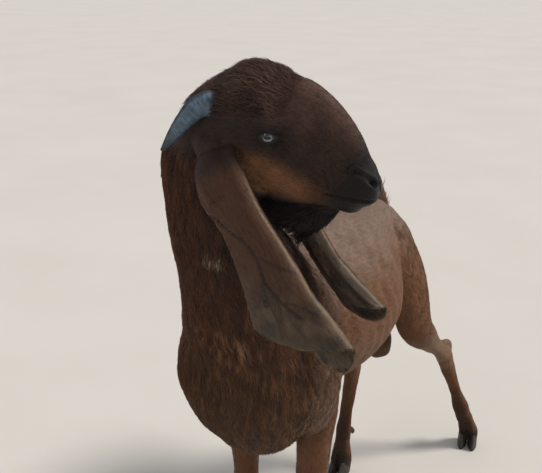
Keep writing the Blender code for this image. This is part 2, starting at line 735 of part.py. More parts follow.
def whole_flesh(collection):
    """The whole goat, apart from horns, eyes and hooves, as one smooth closed mesh."""
    bm = bmesh.new()
    add_trunk(bm)
    add_neck(bm)
    add_head(bm)
    for name in HOOF_PLACES:
        add_leg(bm, name)
    for name in HIND_JOINTS:
        add_hock_point(bm, name)
    for ear in EARS.values():
        add_ear(bm, ear)
    add_loft(bm, TAIL_ROWS, count=26, sides=18)
    add_loft(bm, SCROTUM_ROWS, count=26, sides=24)
    bmesh.ops.recalc_face_normals(bm, faces=bm.faces)
    data = bpy.data.meshes.new("lofts")
    bm.to_mesh(data)
    bm.free()
    lofts = object_from("lofts", data, collection)
    remesh = lofts.modifiers.new("Remesh", "REMESH")
    remesh.mode = "VOXEL"
    remesh.voxel_size = VOXEL
    data = evaluated_mesh(lofts)
    bpy.data.objects.remove(lofts)

    points, edges = points_of(data), edges_of(data)
    local = in_head_frame(points)
    at_head = np.exp(-((np.maximum(np.abs(local[:, 0] - 0.14) - 0.13, 0) / 0.03) ** 2))
    at_head *= np.exp(-((np.maximum(-0.09 - local[:, 2], 0) / 0.02) ** 2))
    low = 1.0 / (1.0 + np.exp((points[:, 2] - 0.36 * SIZE) / 0.02))
    share = np.clip(1.0 - 0.65 * at_head - 0.75 * low, 0.10, 1.0)
    points = relax(points, edges, 60, share)
    points = relax(points, edges, 4, np.full(len(points), 0.8))
    data.vertices.foreach_set("co", points.ravel())
    data.update()
    points += normals_of(data) * (head_relief(points) + body_relief(points))[:, None] * SIZE
    data.vertices.foreach_set("co", points.ravel())
    data.update()
    return object_from("flesh", data, collection)


def thin_out(obj):
    """Brings the flesh down to the triangles that a solid can carry, the head kept finest."""
    local = in_head_frame(points_of(obj.data))
    inside = (np.abs(local[:, 0] - 0.11) < 0.19) & (np.abs(local[:, 1]) < 0.08) & (local[:, 2] > -0.11)
    group = obj.vertex_groups.new(name="thin")
    group.add(np.flatnonzero(~inside).tolist(), 1.0, "REPLACE")
    group.add(np.flatnonzero(inside).tolist(), 0.5, "REPLACE")
    fewer = obj.modifiers.new("Decimate", "DECIMATE")
    fewer.vertex_group = "thin"
    fewer.vertex_group_factor = HEAD_CARE
    fewer.ratio = FLESH_TRIANGLES / (2.0 * len(obj.data.polygons))
    fewer.use_collapse_triangulate = True
    obj.data = evaluated_mesh(obj)
    obj.modifiers.clear()
    obj.vertex_groups.clear()


def boolean(obj, tool, solver="EXACT"):
    cut = obj.modifiers.new("Cut", "BOOLEAN")
    cut.operation = "DIFFERENCE"
    cut.solver = solver
    cut.object = tool
    obj.data = evaluated_mesh(obj)
    obj.modifiers.clear()


def block(centre, axes, half):
    """A box with its own axes, as a cutting tool."""
    bm = bmesh.new()
    bmesh.ops.create_cube(bm, size=2.0)
    for vertex in bm.verts:
        vertex.co = centre + sum((a * h * c for a, h, c in zip(axes, half, vertex.co)), Vector())
    if axes[0].cross(axes[1]).dot(axes[2]) < 0.0:
        bmesh.ops.reverse_faces(bm, faces=bm.faces)
    return object_of("tool", bm)


def object_of(name, bm):
    data = bpy.data.meshes.new(name)
    bm.to_mesh(data)
    bm.free()
    obj = bpy.data.objects.new(name, data)
    bpy.context.scene.collection.objects.link(obj)
    return obj


def remove(obj):
    data = obj.data
    bpy.data.objects.remove(obj)
    bpy.data.meshes.remove(data)


def loose_parts(data):
    """The faces of each separate surface of a mesh, largest first."""
    parent = np.arange(len(data.vertices))
    edges = edges_of(data)
    while True:
        low = np.minimum(parent[edges[:, 0]], parent[edges[:, 1]])
        before = parent.copy()
        np.minimum.at(parent, edges[:, 0], low)
        np.minimum.at(parent, edges[:, 1], low)
        parent = parent[parent]
        if np.array_equal(before, parent):
            break
    first = np.array([polygon.vertices[0] for polygon in data.polygons])
    labels = parent[first]
    found = [np.flatnonzero(labels == label) for label in np.unique(labels)]
    return sorted(found, key=len, reverse=True)


def keep_faces(data, faces, name):
    bm = bmesh.new()
    bm.from_mesh(data)
    bm.faces.ensure_lookup_table()
    wanted = set(faces.tolist())
    gone = [face for face in bm.faces if face.index not in wanted]
    bmesh.ops.delete(bm, geom=gone, context="FACES")
    made = bpy.data.meshes.new(name)
    bm.to_mesh(made)
    bm.free()
    return made


def part_off(body, name, centre, normal, half, along=(0.0, 1.0, 0.0)):
    """Cuts one part from the body with a slab as thin as the gap, and returns the two."""
    normal = Vector(normal).normalized()
    first = Vector(along)
    first = (first - normal * first.dot(normal)).normalized()
    second = normal.cross(first)
    tool = block(Vector(centre), (first, second, normal), (half[0], half[1], GAP / 2.0))
    boolean(body, tool)
    remove(tool)
    pieces = loose_parts(body.data)
    if len(pieces) < 2:
        raise ValueError(f"the slab doesn't part {name} from the body")
    kept = []
    for faces in pieces[:2]:
        kept.append(keep_faces(body.data, faces, name))
    sides = []
    for data in kept:
        offsets = points_of(data) - np.array(centre)
        away = offsets @ np.array(normal)
        at_cut = (np.abs(away) < GAP) & (np.abs(offsets @ np.array(first)) < half[0])
        at_cut &= np.abs(offsets @ np.array(second)) < half[1]
        sides.append(np.sign(away[at_cut]).mean())
    if sides[0] > sides[1]:
        kept.reverse()
    body.data = kept[0]
    return object_from(name, kept[1], body.users_collection[0])


def horn_rings(side, grown=0.0):
    rows = through(HORN_ROWS, 10)
    middles = rows[:, :3]
    runs = np.gradient(middles, axis=0)
    rings = []
    for middle, run, row in zip(middles, runs, rows):
        run = Vector(run).normalized()
        across = Vector((0.5, 0.0, -0.87))
        across = (across - run * across.dot(run)).normalized()
        outward = run.cross(across)
        ring = []
        for k in range(12):
            angle = 2 * math.pi * k / 12
            point = Vector(middle)
            point += across * (row[3] + grown) * math.cos(angle)
            point += outward * (row[4] + grown) * math.sin(angle)
            ring.append(head_point(point.x, side * point.y, point.z))
        rings.append(ring)
    return rings


def horn_mesh(side, grown=0.0):
    """One horn, or the same horn grown by the gap all round."""
    bm = bmesh.new()
    rings = horn_rings(side, grown)
    if grown:
        buried = [point - (HEAD_UP + HEAD_LEFT * side - HEAD_FORWARD) * GAP for point in rings[0]]
        rings.insert(0, buried)
    add_rings(bm, rings)
    bmesh.ops.triangulate(bm, faces=bm.faces, quad_method="FIXED")
    bmesh.ops.recalc_face_normals(bm, faces=bm.faces)
    return bm


def add_socket(head, side):
    """Cuts the horn's own shape, grown by the gap, out of the head."""
    tool = object_of("tool", horn_mesh(side, 1.5 * GAP / HEAD_SIZE))
    boolean(head, tool)
    remove(tool)


def eye_axes(side):
    look = (HEAD_FORWARD * EYE_LOOK[0] + HEAD_LEFT * side * EYE_LOOK[1] + HEAD_UP * EYE_LOOK[2]).normalized()
    along = (HEAD_FORWARD - look * HEAD_FORWARD.dot(look)).normalized()
    upward = (HEAD_UP - look * HEAD_UP.dot(look) - along * HEAD_UP.dot(along)).normalized()
    return look, along, upward


def open_eye(head, side):
    """Cuts the eyeball's room and the almond between the lids."""
    centre = head_point(EYE_PLACE[0], side * EYE_PLACE[1], EYE_PLACE[2])
    look, along, upward = eye_axes(side)
    bm = bmesh.new()
    made = bmesh.ops.create_uvsphere(bm, u_segments=18, v_segments=12, radius=EYEBALL_RADIUS + GAP)
    for vertex in made["verts"]:
        vertex.co += centre
    tool = object_of("tool", bm)
    boolean(head, tool)
    remove(tool)
    bm = bmesh.new()
    rings = []
    for out, spread in ((0.004, 0.90), (0.013, 1.0), (0.034, 1.45)):
        ring = []
        for k in range(20):
            angle = 2 * math.pi * k / 20
            reach = EYE_UPPER if math.sin(angle) > 0 else EYE_LOWER
            narrow = abs(math.sin(angle)) ** 1.15 * math.copysign(1.0, math.sin(angle))
            ring.append(
                centre
                + look * out
                + along * EYE_HALF_LENGTH * spread * math.cos(angle)
                + upward * reach * spread * narrow
            )
        rings.append(ring)
    add_rings(bm, rings)
    bmesh.ops.recalc_face_normals(bm, faces=bm.faces)
    tool = object_of("tool", bm)
    boolean(head, tool)
    remove(tool)


def add_claws(collection, name):
    """Two horn claws stand side by side under each foot, flat below and cut on a slope above."""
    place, forward, across = toe_frame(name)
    side = 1.0 if name.endswith("left") else -1.0
    made = []
    for toe, label in ((side, "outer"), (-side, "inner")):
        rings = []
        for level, length, width, back in CLAW_RINGS:
            ring = []
            for k in range(18):
                angle = 2 * math.pi * k / 18
                reach = math.cos(angle)
                spread = math.sin(angle)
                run = reach * length / 2.0 - back
                narrow = 1.0 - 0.42 * max(reach, 0.0) ** 1.6
                lean = 0.0018 * reach * toe
                aside = spread * width / 2.0 * narrow
                height = level * (1.0 + CORONET_SLOPE * reach)
                point = place + forward * run + across * (toe * CLAW_MIDDLE + aside + lean)
                ring.append((point + Vector((0.0, 0.0, height))) * SIZE)
            rings.append(ring)
        bm = bmesh.new()
        add_rings(bm, rings)
        bmesh.ops.recalc_face_normals(bm, faces=bm.faces)
        claw = object_of("hoof_" + name + "_" + label, bm)
        bpy.context.scene.collection.objects.unlink(claw)
        collection.objects.link(claw)
        made.append(claw)
    return made


def trim_foot(leg, name):
    """Ends the foot just above its claws, on the same slope."""
    place, forward, across = toe_frame(name)
    top_level, top_length, _, top_back = CLAW_RINGS[-1]
    rise = top_level * CORONET_SLOPE / (top_length / 2.0)
    slope = (forward + Vector((0.0, 0.0, rise))).normalized()
    normal = across.cross(slope)
    if normal.z < 0:
        normal = -normal
    top = (place - forward * top_back + Vector((0.0, 0.0, top_level))) * SIZE + normal * GAP
    tool = block(top - normal * 0.06, (across, slope, normal), (0.07, 0.10, 0.06))
    boolean(leg, tool)
    remove(tool)
    pieces = loose_parts(leg.data)
    leg.data = keep_faces(leg.data, pieces[0], leg.name)


def finish(obj, shade):
    """Merges stray points, turns the faces outward and gives the part its material."""
    bm = bmesh.new()
    bm.from_mesh(obj.data)
    bmesh.ops.remove_doubles(bm, verts=bm.verts, dist=1e-6)
    bmesh.ops.dissolve_degenerate(bm, edges=bm.edges, dist=1e-6)
    bmesh.ops.triangulate(bm, faces=bm.faces)
    bmesh.ops.recalc_face_normals(bm, faces=bm.faces)
    bm.to_mesh(obj.data)
    bm.free()
    obj.data.materials.clear()
    obj.data.materials.append(shade)
    for polygon in obj.data.polygons:
        polygon.material_index = 0


def middle_of_bounds(objects):
    """The middle of everything in x and y, at the floor."""
    low = np.min([points_of(obj.data).min(0) for obj in objects], axis=0)
    high = np.max([points_of(obj.data).max(0) for obj in objects], axis=0)
    return Vector(((low[0] + high[0]) / 2.0, (low[1] + high[1]) / 2.0, 0.0))


def main():
    clear_scene()
    scene = bpy.context.scene
    goat = bpy.data.collections.new("goat")
    scene.collection.children.link(goat)
    coat = material("coat", (0.24, 0.14, 0.10), 0.9)
    horn = material("horn", (0.20, 0.23, 0.27), 0.5)
    glossy = material("eye", (0.45, 0.50, 0.52), 0.1)

    body = whole_flesh(goat)
    thin_out(body)
    parts = {}
    for name, ear in EARS.items():
        forward, left, up = ear["root"]
        side = math.copysign(1.0, left)
        plane = head_point(forward, side * 0.077, up)
        parts[name] = part_off(body, name, plane, HEAD_LEFT * side, (0.075, 0.085))
    parts["tail"] = part_off(body, "tail", Vector(TAIL_CUT) * SIZE, TAIL_CUT_FACING, (0.05, 0.04))
    parts["scrotum"] = part_off(
        body, "scrotum", Vector(SCROTUM_CUT) * SIZE, (0.0, 0.0, -1.0), (0.05, 0.042)
    )
    for name, (place, facing, half) in LEG_CUTS.items():
        label = name.replace("front_", "foreleg_").replace("hind_", "hindleg_")
        parts[label] = part_off(body, label, Vector(place) * SIZE, facing, half)
        trim_foot(parts[label], name)
    parts["head"] = part_off(
        body, "head", head_point(*HEAD_CUT), HEAD_FORWARD * 0.61 + HEAD_UP * 0.79, (0.10, 0.26), HEAD_LEFT
    )
    parts["neck"] = part_off(
        body, "neck", Vector(NECK_CUT) * SIZE, NECK_CUT_FACING, (0.25, 0.25), (1.0, 0.0, 0.0)
    )
    body.name = "torso"
    parts["torso"] = body
    for side, word in ((-1.0, "right"), (1.0, "left")):
        add_socket(parts["head"], side)
        open_eye(parts["head"], side)
        made = object_of("horn_" + word, horn_mesh(side))
        scene.collection.objects.unlink(made)
        goat.objects.link(made)
        parts[made.name] = made
        bm = bmesh.new()
        ball = bmesh.ops.create_uvsphere(bm, u_segments=16, v_segments=10, radius=EYEBALL_RADIUS)
        centre = head_point(EYE_PLACE[0], side * EYE_PLACE[1], EYE_PLACE[2])
        for vertex in ball["verts"]:
            vertex.co += centre
        made = object_of("eye_" + word, bm)
        scene.collection.objects.unlink(made)
        goat.objects.link(made)
        parts[made.name] = made
    pieces = loose_parts(parts["head"].data)
    parts["head"].data = keep_faces(parts["head"].data, pieces[0], "head")
    for name in HOOF_PLACES:
        for claw in add_claws(goat, name):
            parts[claw.name] = claw
    for name, obj in parts.items():
        shade = coat
        if name.startswith(("horn", "hoof")):
            shade = horn
        if name.startswith("eye"):
            shade = glossy
        finish(obj, shade)
        obj.data.name = name
    middle = middle_of_bounds(parts.values())
    for obj in parts.values():
        obj.data.transform(Matrix.Translation(-middle))


main()
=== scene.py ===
"""The looks of a standing Sirohi goat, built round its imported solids.

One skin, made from the same rows as the solids, lies inside them by the coat's depth, and tufts of hair
grow from it along its lie. Eyes, lids, horns and claws are pieces of their own.
"""

import math

import bmesh
import bpy
import numpy as np
from mathutils import Matrix, Vector
from mathutils.bvhtree import BVHTree
from mathutils.kdtree import KDTree


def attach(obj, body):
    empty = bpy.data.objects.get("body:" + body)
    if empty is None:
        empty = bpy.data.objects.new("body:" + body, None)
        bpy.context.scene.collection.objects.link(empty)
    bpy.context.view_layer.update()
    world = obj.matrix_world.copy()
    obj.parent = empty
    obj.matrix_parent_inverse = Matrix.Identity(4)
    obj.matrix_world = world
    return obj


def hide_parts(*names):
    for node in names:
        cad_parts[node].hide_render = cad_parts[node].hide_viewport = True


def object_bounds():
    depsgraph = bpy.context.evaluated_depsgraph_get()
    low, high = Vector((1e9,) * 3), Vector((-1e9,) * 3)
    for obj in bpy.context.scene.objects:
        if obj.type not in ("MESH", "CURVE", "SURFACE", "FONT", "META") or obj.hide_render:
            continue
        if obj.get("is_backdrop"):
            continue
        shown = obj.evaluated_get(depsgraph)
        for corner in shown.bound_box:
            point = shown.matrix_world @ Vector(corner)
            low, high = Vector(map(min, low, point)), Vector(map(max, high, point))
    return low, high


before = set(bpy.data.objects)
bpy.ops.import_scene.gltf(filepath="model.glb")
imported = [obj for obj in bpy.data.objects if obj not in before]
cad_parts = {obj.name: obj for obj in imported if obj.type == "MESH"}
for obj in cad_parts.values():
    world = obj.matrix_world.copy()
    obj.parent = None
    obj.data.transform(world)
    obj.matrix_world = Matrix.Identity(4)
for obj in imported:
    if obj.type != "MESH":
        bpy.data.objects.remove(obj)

CAD_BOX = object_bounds()
PHOTO_WIDTH = 542

# Driving dimensions, in metres
WITHERS_HEIGHT = 0.80
HEAD_LENGTH = 0.255
EYEBALL_RADIUS = 0.0145

# The rows below are written for a goat of this height, and SIZE brings them to the one wanted.
ROWS_HEIGHT = 0.84
SIZE = WITHERS_HEIGHT / ROWS_HEIGHT

# From the rows' origin to the middle of the solids' bounds
SHIFT = Vector((-0.06893900781869888, 0.003996014595031738, 0.0))
SKIN_VOXEL = 0.0030

# The head's own frame: forward to the nose, left, and up, from the poll
HEAD_ORIGIN = Vector((0.019, -0.441, 1.071)) * SIZE
HEAD_FORWARD = Vector((0.969, 0.174, -0.178)).normalized()
HEAD_LEFT = HEAD_FORWARD.cross(Vector((-0.211, 0.194, -0.958))).normalized()
HEAD_UP = HEAD_FORWARD.cross(HEAD_LEFT).normalized()
HEAD_ROWS_LENGTH = 0.268
HEAD_SIZE = HEAD_LENGTH / HEAD_ROWS_LENGTH

# Trunk: y, height of the widest level, half width, height above it, depth below it, narrowing upward
TRUNK_ROWS = (
    (-0.435, 0.580, 0.030, 0.050, 0.040, 0.00),
    (-0.418, 0.582, 0.094, 0.130, 0.092, 0.00),
    (-0.370, 0.590, 0.132, 0.175, 0.158, 0.03),
    (-0.310, 0.595, 0.140, 0.200, 0.199, 0.10),
    (-0.245, 0.600, 0.140, 0.214, 0.196, 0.20),
    (-0.180, 0.605, 0.138, 0.234, 0.187, 0.30),
    (-0.110, 0.600, 0.140, 0.218, 0.173, 0.26),
    (-0.020, 0.595, 0.147, 0.204, 0.167, 0.18),
    (0.060, 0.598, 0.149, 0.192, 0.169, 0.14),
    (0.125, 0.608, 0.136, 0.180, 0.161, 0.14),
    (0.185, 0.628, 0.106, 0.158, 0.138, 0.16),
    (0.240, 0.645, 0.086, 0.134, 0.118, 0.16),
    (0.290, 0.654, 0.070, 0.108, 0.100, 0.10),
    (0.330, 0.658, 0.052, 0.076, 0.078, 0.00),
    (0.352, 0.660, 0.026, 0.040, 0.042, 0.00),
)
# How much the chest narrows towards the breastbone behind the elbows
TRUNK_KEEL = 0.20

# Neck: x, y, z, half width, depth to the throat, depth to the nape, share of the head's turn
NECK_ROWS = (
    (0.000, -0.165, 0.570, 0.142, 0.205, 0.120, 0.00),
    (0.000, -0.250, 0.665, 0.144, 0.205, 0.112, 0.00),
    (-0.003, -0.333, 0.770, 0.122, 0.150, 0.106, 0.15),
    (-0.006, -0.392, 0.865, 0.093, 0.104, 0.098, 0.40),
    (-0.004, -0.420, 0.945, 0.080, 0.100, 0.091, 0.75),
    (0.004, -0.430, 1.005, 0.071, 0.096, 0.094, 1.00),
    (0.012, -0.434, 1.045, 0.060, 0.078, 0.082, 1.00),
    (0.016, -0.436, 1.072, 0.042, 0.050, 0.054, 1.00),
)

# Skull: forward, top, bottom, half width, height of the widest level, narrowing towards the jaw
HEAD_ROWS = (
    (-0.066, 0.010, -0.050, 0.026, -0.012, 0.00),
    (-0.052, 0.034, -0.080, 0.045, -0.010, 0.00),
    (-0.025, 0.070, -0.096, 0.055, 0.006, 0.10),
    (0.015, 0.104, -0.104, 0.060, 0.022, 0.20),
    (0.050, 0.121, -0.108, 0.061, 0.034, 0.32),
    (0.085, 0.126, -0.107, 0.060, 0.038, 0.34),
    (0.115, 0.124, -0.103, 0.055, 0.032, 0.28),
    (0.145, 0.117, -0.097, 0.048, 0.018, 0.18),
    (0.175, 0.103, -0.089, 0.0415, 0.004, 0.10),
    (0.205, 0.079, -0.080, 0.0370, -0.010, 0.05),
    (0.230, 0.049, -0.073, 0.0340, -0.020, 0.00),
    (0.248, 0.017, -0.064, 0.0300, -0.026, 0.00),
    (0.263, -0.004, -0.054, 0.0240, -0.029, 0.00),
    (0.270, -0.020, -0.043, 0.0140, -0.032, 0.00),
)

# Legs: x outward, y, z, half width, depth behind, depth in front
FORELEG_TOP = (
    (0.078, -0.225, 0.640, 0.040, 0.075, 0.085),
    (0.090, -0.240, 0.570, 0.052, 0.080, 0.085),
    (0.090, -0.228, 0.500, 0.046, 0.074, 0.076),
    (0.086, -0.212, 0.440, 0.042, 0.058, 0.058),
)
# The front legs below the elbow: z, half width, depth behind, depth in front
FORELEG_BELOW = (
    (0.390, 0.0385, 0.044, 0.045),
    (0.340, 0.0335, 0.036, 0.037),
    (0.295, 0.0280, 0.029, 0.030),
    (0.260, 0.0285, 0.0275, 0.0295),
    (0.232, 0.0250, 0.0250, 0.0260),
    (0.198, 0.0188, 0.0207, 0.0192),
    (0.155, 0.0178, 0.0200, 0.0180),
    (0.122, 0.0210, 0.0240, 0.0205),
    (0.102, 0.0235, 0.0260, 0.0230),
    (0.078, 0.0205, 0.0205, 0.0205),
)
ELBOW_LEVEL = 0.440
KNEE_LEVEL = 0.260
FETLOCK_LEVEL = 0.102
CORONET_LEVEL = 0.040

# Where each hoof stands: x, y, and how far its toes turn outward, in degrees
HOOF_PLACES = {
    "front_left": (0.103, -0.272, 6.0),
    "front_right": (-0.070, -0.270, 6.0),
    "hind_left": (0.216, 0.502, 14.0),
    "hind_right": (-0.046, 0.200, 6.0),
}
KNEE_PLACES = {"front_left": (0.090, -0.246), "front_right": (-0.060, -0.246)}

# Hind legs, each joint in its own place: x, y, z
HIND_JOINTS = {
    "hind_left": {
        "hip": (0.040, 0.246, 0.680),
        "stifle": (0.124, 0.236, 0.470),
        "hock": (0.146, 0.440, 0.298),
        "fetlock": (0.194, 0.484, 0.126),
    },
    "hind_right": {
        "hip": (-0.040, 0.246, 0.680),
        "stifle": (-0.098, 0.165, 0.475),
        "hock": (-0.056, 0.284, 0.285),
        "fetlock": (-0.050, 0.226, 0.120),
    },
}

# Ears: how thick they are, and for each its root in the head's frame, the lean of its plane from the
# vertical in degrees, its side, how far it stands off the neck, swings out, turns and bulges, and the
# radius of its front fold. Across the ear, from the rear edge to the curl: how long it is. Along it: how
# far it reaches back and forward from its root's line, and how wide the curl behind the fold is.
EAR_THICKNESS = 0.0052
EARS = {
    "ear_right": {
        "root": (0.024, -0.064, -0.019), "lean": 42.0, "outward": -1.0,
        "stand_off": 0.040, "swing": 0.0, "twist": 0.0, "bulge": 0.010, "fold": 0.0125,
        "lengths": (
            (0.0, 0.247), (0.10, 0.268), (0.215, 0.289), (0.373, 0.317), (0.492, 0.336),
            (0.624, 0.353), (0.684, 0.362), (0.786, 0.378), (0.913, 0.379), (1.0, 0.352),
        ),
        "rear": (
            (0.0, 0.046), (0.05, 0.048), (0.095, 0.042), (0.13, 0.050),
            (0.165, 0.065), (0.21, 0.090), (0.25, 0.116), (0.40, 0.120),
        ),
        "front": (
            (0.0, 0.044), (0.06, 0.040), (0.11, 0.033), (0.17, 0.028),
            (0.21, 0.023), (0.26, 0.018), (0.40, 0.015),
        ),
        "curl": ((0.0, 0.018), (0.10, 0.020), (0.20, 0.036), (0.30, 0.060), (0.40, 0.070)),
    },
    "ear_left": {
        "root": (0.024, 0.064, -0.019), "lean": 42.0, "outward": 1.0,
        "stand_off": 0.058, "swing": 0.12, "twist": 0.10, "bulge": 0.022, "fold": 0.0085,
        "lengths": (
            (0.0, 0.345), (0.08, 0.376), (0.20, 0.397), (0.35, 0.401),
            (0.50, 0.395), (0.62, 0.385), (0.80, 0.372), (1.0, 0.350),
        ),
        "rear": (
            (0.0, 0.032), (0.05, 0.048), (0.12, 0.080), (0.20, 0.108),
            (0.29, 0.120), (0.34, 0.120), (0.42, 0.110),
        ),
        "front": (
            (0.0, 0.032), (0.05, 0.020), (0.12, -0.020), (0.20, -0.055),
            (0.28, -0.066), (0.34, -0.058), (0.42, -0.042),
        ),
        "curl": ((0.0, 0.014), (0.20, 0.018), (0.42, 0.022)),
    },
}

# Horns, in the head's frame, for the left side: forward, left, up, half width, half thickness
HORN_ROWS = (
    (0.024, 0.026, 0.048, 0.0210, 0.0130),
    (0.008, 0.044, 0.066, 0.0200, 0.0125),
    (-0.008, 0.057, 0.062, 0.0175, 0.0110),
    (-0.022, 0.069, 0.044, 0.0140, 0.0090),
    (-0.036, 0.080, 0.020, 0.0095, 0.0065),
    (-0.050, 0.090, -0.008, 0.0035, 0.0030),
)

# The beard under the jaw: forward, up, half width, half depth
BEARD_ROWS = (
    (0.190, -0.066, 0.022, 0.030),
    (0.184, -0.096, 0.018, 0.026),
    (0.174, -0.122, 0.012, 0.020),
    (0.164, -0.144, 0.005, 0.008),
)

# The claws: level, length, width, and how far each ring lies back; and how steeply their top slopes
CLAW_RINGS = (
    (0.000, 0.060, 0.0250, -0.003),
    (0.010, 0.059, 0.0256, -0.001),
    (0.022, 0.054, 0.0252, 0.003),
    (0.034, 0.048, 0.0240, 0.007),
)
CORONET_SLOPE = 0.26
CLAW_MIDDLE = 0.0140

EYE_PLACE = (0.101, 0.0470, 0.042)
EYE_LOOK = (0.30, 0.93, 0.12)
EYE_HALF_LENGTH = 0.0118
EYE_UPPER = 0.0074
EYE_LOWER = 0.0060

# Swellings of the head, in its frame: centre and radii, first those that lie on both sides
HEAD_PAIRS = (
    (EYE_PLACE, (0.0215, 0.0185, 0.0190)),
    ((0.055, 0.030, -0.055), (0.050, 0.022, 0.040)),
    ((0.010, 0.052, -0.004), (0.026, 0.022, 0.030)),
    ((0.232, 0.016, -0.004), (0.020, 0.014, 0.018)),
    ((0.016, 0.032, 0.060), (0.036, 0.026, 0.026)),
)
HEAD_SINGLES = (
    ((0.050, 0.0, 0.101), (0.034, 0.050, 0.022)),
    ((0.224, 0.0, -0.064), (0.026, 0.022, 0.015)),
    ((0.115, 0.0, -0.102), (0.075, 0.034, 0.036)),
)

# Bumps and hollows, alike on both sides: height, centre and radii, in the head's frame and in the body's
HEAD_BUMPS = (
    (0.0050, (0.098, 0.060, 0.064), (0.026, 0.020, 0.012)),
    (-0.0060, (0.128, 0.052, 0.030), (0.020, 0.020, 0.022)),
    (-0.0045, (0.060, 0.064, 0.048), (0.020, 0.020, 0.022)),
    (0.0035, (0.120, 0.046, -0.012), (0.040, 0.020, 0.012)),
    (-0.0025, (0.165, 0.042, -0.035), (0.035, 0.020, 0.020)),
    (-0.0075, (0.117, 0.000, 0.108), (0.012, 0.046, 0.022)),
    (0.0040, (0.078, 0.000, 0.125), (0.030, 0.040, 0.030)),
    (-0.0030, (0.112, 0.044, 0.084), (0.014, 0.020, 0.016)),
    (0.0020, (0.070, 0.050, 0.090), (0.030, 0.030, 0.014)),
    (0.0015, (0.246, 0.021, 0.000), (0.012, 0.012, 0.008)),
    (0.0020, (0.262, 0.012, -0.026), (0.012, 0.016, 0.010)),
)
BODY_BUMPS = (
    (0.0090, (0.078, 0.205, 0.765), (0.026, 0.032, 0.026)),
    (-0.0150, (0.115, 0.150, 0.715), (0.050, 0.045, 0.050)),
    (0.0050, (0.060, 0.335, 0.700), (0.026, 0.026, 0.030)),
    (0.0070, (0.130, -0.335, 0.560), (0.040, 0.035, 0.040)),
    (-0.0070, (0.120, -0.130, 0.640), (0.040, 0.030, 0.110)),
    (-0.0100, (0.000, -0.425, 0.500), (0.018, 0.050, 0.080)),
    (0.0040, (0.000, -0.030, 0.800), (0.014, 0.260, 0.050)),
)

TAIL_ROWS = (
    (0.000, 0.300, 0.680, 0.024, 0.020, 0.020),
    (-0.008, 0.334, 0.708, 0.022, 0.016, 0.016),
    (-0.024, 0.350, 0.738, 0.021, 0.012, 0.012),
    (-0.040, 0.356, 0.768, 0.018, 0.009, 0.009),
    (-0.054, 0.354, 0.798, 0.011, 0.006, 0.006),
    (-0.060, 0.352, 0.812, 0.004, 0.003, 0.003),
)

SCROTUM_ROWS = (
    (0.010, 0.250, 0.560, 0.030, 0.030, 0.030),
    (0.012, 0.256, 0.500, 0.022, 0.020, 0.020),
    (0.014, 0.260, 0.458, 0.024, 0.022, 0.022),
    (0.015, 0.264, 0.415, 0.040, 0.034, 0.034),
    (0.016, 0.266, 0.380, 0.043, 0.036, 0.036),
    (0.016, 0.266, 0.355, 0.034, 0.028, 0.028),
    (0.016, 0.265, 0.342, 0.014, 0.012, 0.012),
)

# The regions of the skin, each with its own cell in the coat's map
REGIONS = (
    "trunk", "neck", "head", "front_left", "front_right", "hind_left", "hind_right",
    "ear_right", "ear_left", "tail", "scrotum", "beard",
)
MAP_CELLS = 4
MAP_PATCH = 0.003

# Hair, by the first word of a region's name: length, lift from the skin, sideways scatter, number per
# square metre, and how far the skin lies inside the hair's outline
HAIR = {
    "trunk": (0.0125, 0.10, 0.11, 120000.0, 0.0022),
    "neck": (0.022, 0.13, 0.11, 130000.0, 0.0030),
    "head": (0.008, 0.13, 0.11, 330000.0, 0.0010),
    "front": (0.0125, 0.12, 0.11, 170000.0, 0.0022),
    "hind": (0.0125, 0.12, 0.11, 170000.0, 0.0022),
    "ear": (0.008, 0.12, 0.11, 150000.0, 0.0009),
    "tail": (0.036, 0.10, 0.25, 160000.0, 0.0030),
    "scrotum": (0.007, 0.10, 0.11, 120000.0, 0.0010),
    "beard": (0.038, 0.10, 0.14, 220000.0, 0.0010),
}


def hermite(near, far, near_slope, far_slope, span, t):
    """A smooth step from one value to the next that keeps the slopes at both."""
    return (
        near * (2 * t**3 - 3 * t**2 + 1)
        + near_slope * span * (t**3 - 2 * t**2 + t)
        + far * (3 * t**2 - 2 * t**3)
        + far_slope * span * (t**3 - t**2)
    )


def through(rows, count):
    """A smooth run of `count` rows through the given ones, spaced as their first three values are."""
    rows = np.array(rows, float)
    steps = np.linalg.norm(np.diff(rows[:, :3], axis=0), axis=1) ** 0.5
    knots = np.concatenate([[0.0], np.cumsum(steps)])
    slopes = np.gradient(rows, knots, axis=0)
    places = np.linspace(0.0, knots[-1], count)
    index = np.clip(np.searchsorted(knots, places, side="right") - 1, 0, len(knots) - 2)
    span = (knots[index + 1] - knots[index])[:, None]
    t = (places - knots[index])[:, None] / span
    return hermite(rows[index], rows[index + 1], slopes[index], slopes[index + 1], span, t)


def turns(sides):
    """The cosine and sine of each of so many even steps round a ring."""
    for k in range(sides):
        angle = 2 * math.pi * k / sides
        yield math.cos(angle), math.sin(angle)


def unit(vectors):
    return vectors / np.maximum(np.linalg.norm(vectors, axis=-1, keepdims=True), 1e-12)


def tree_of(points):
    tree = KDTree(len(points))
    for index, point in enumerate(points):
        tree.insert(point, index)
    tree.balance()
    return tree


def nearest_in(tree, points):
    find = tree.find
    return np.array([find(point)[1] for point in points])


def is_in(region, *names):
    return np.isin(region, [REGIONS.index(name) for name in names])


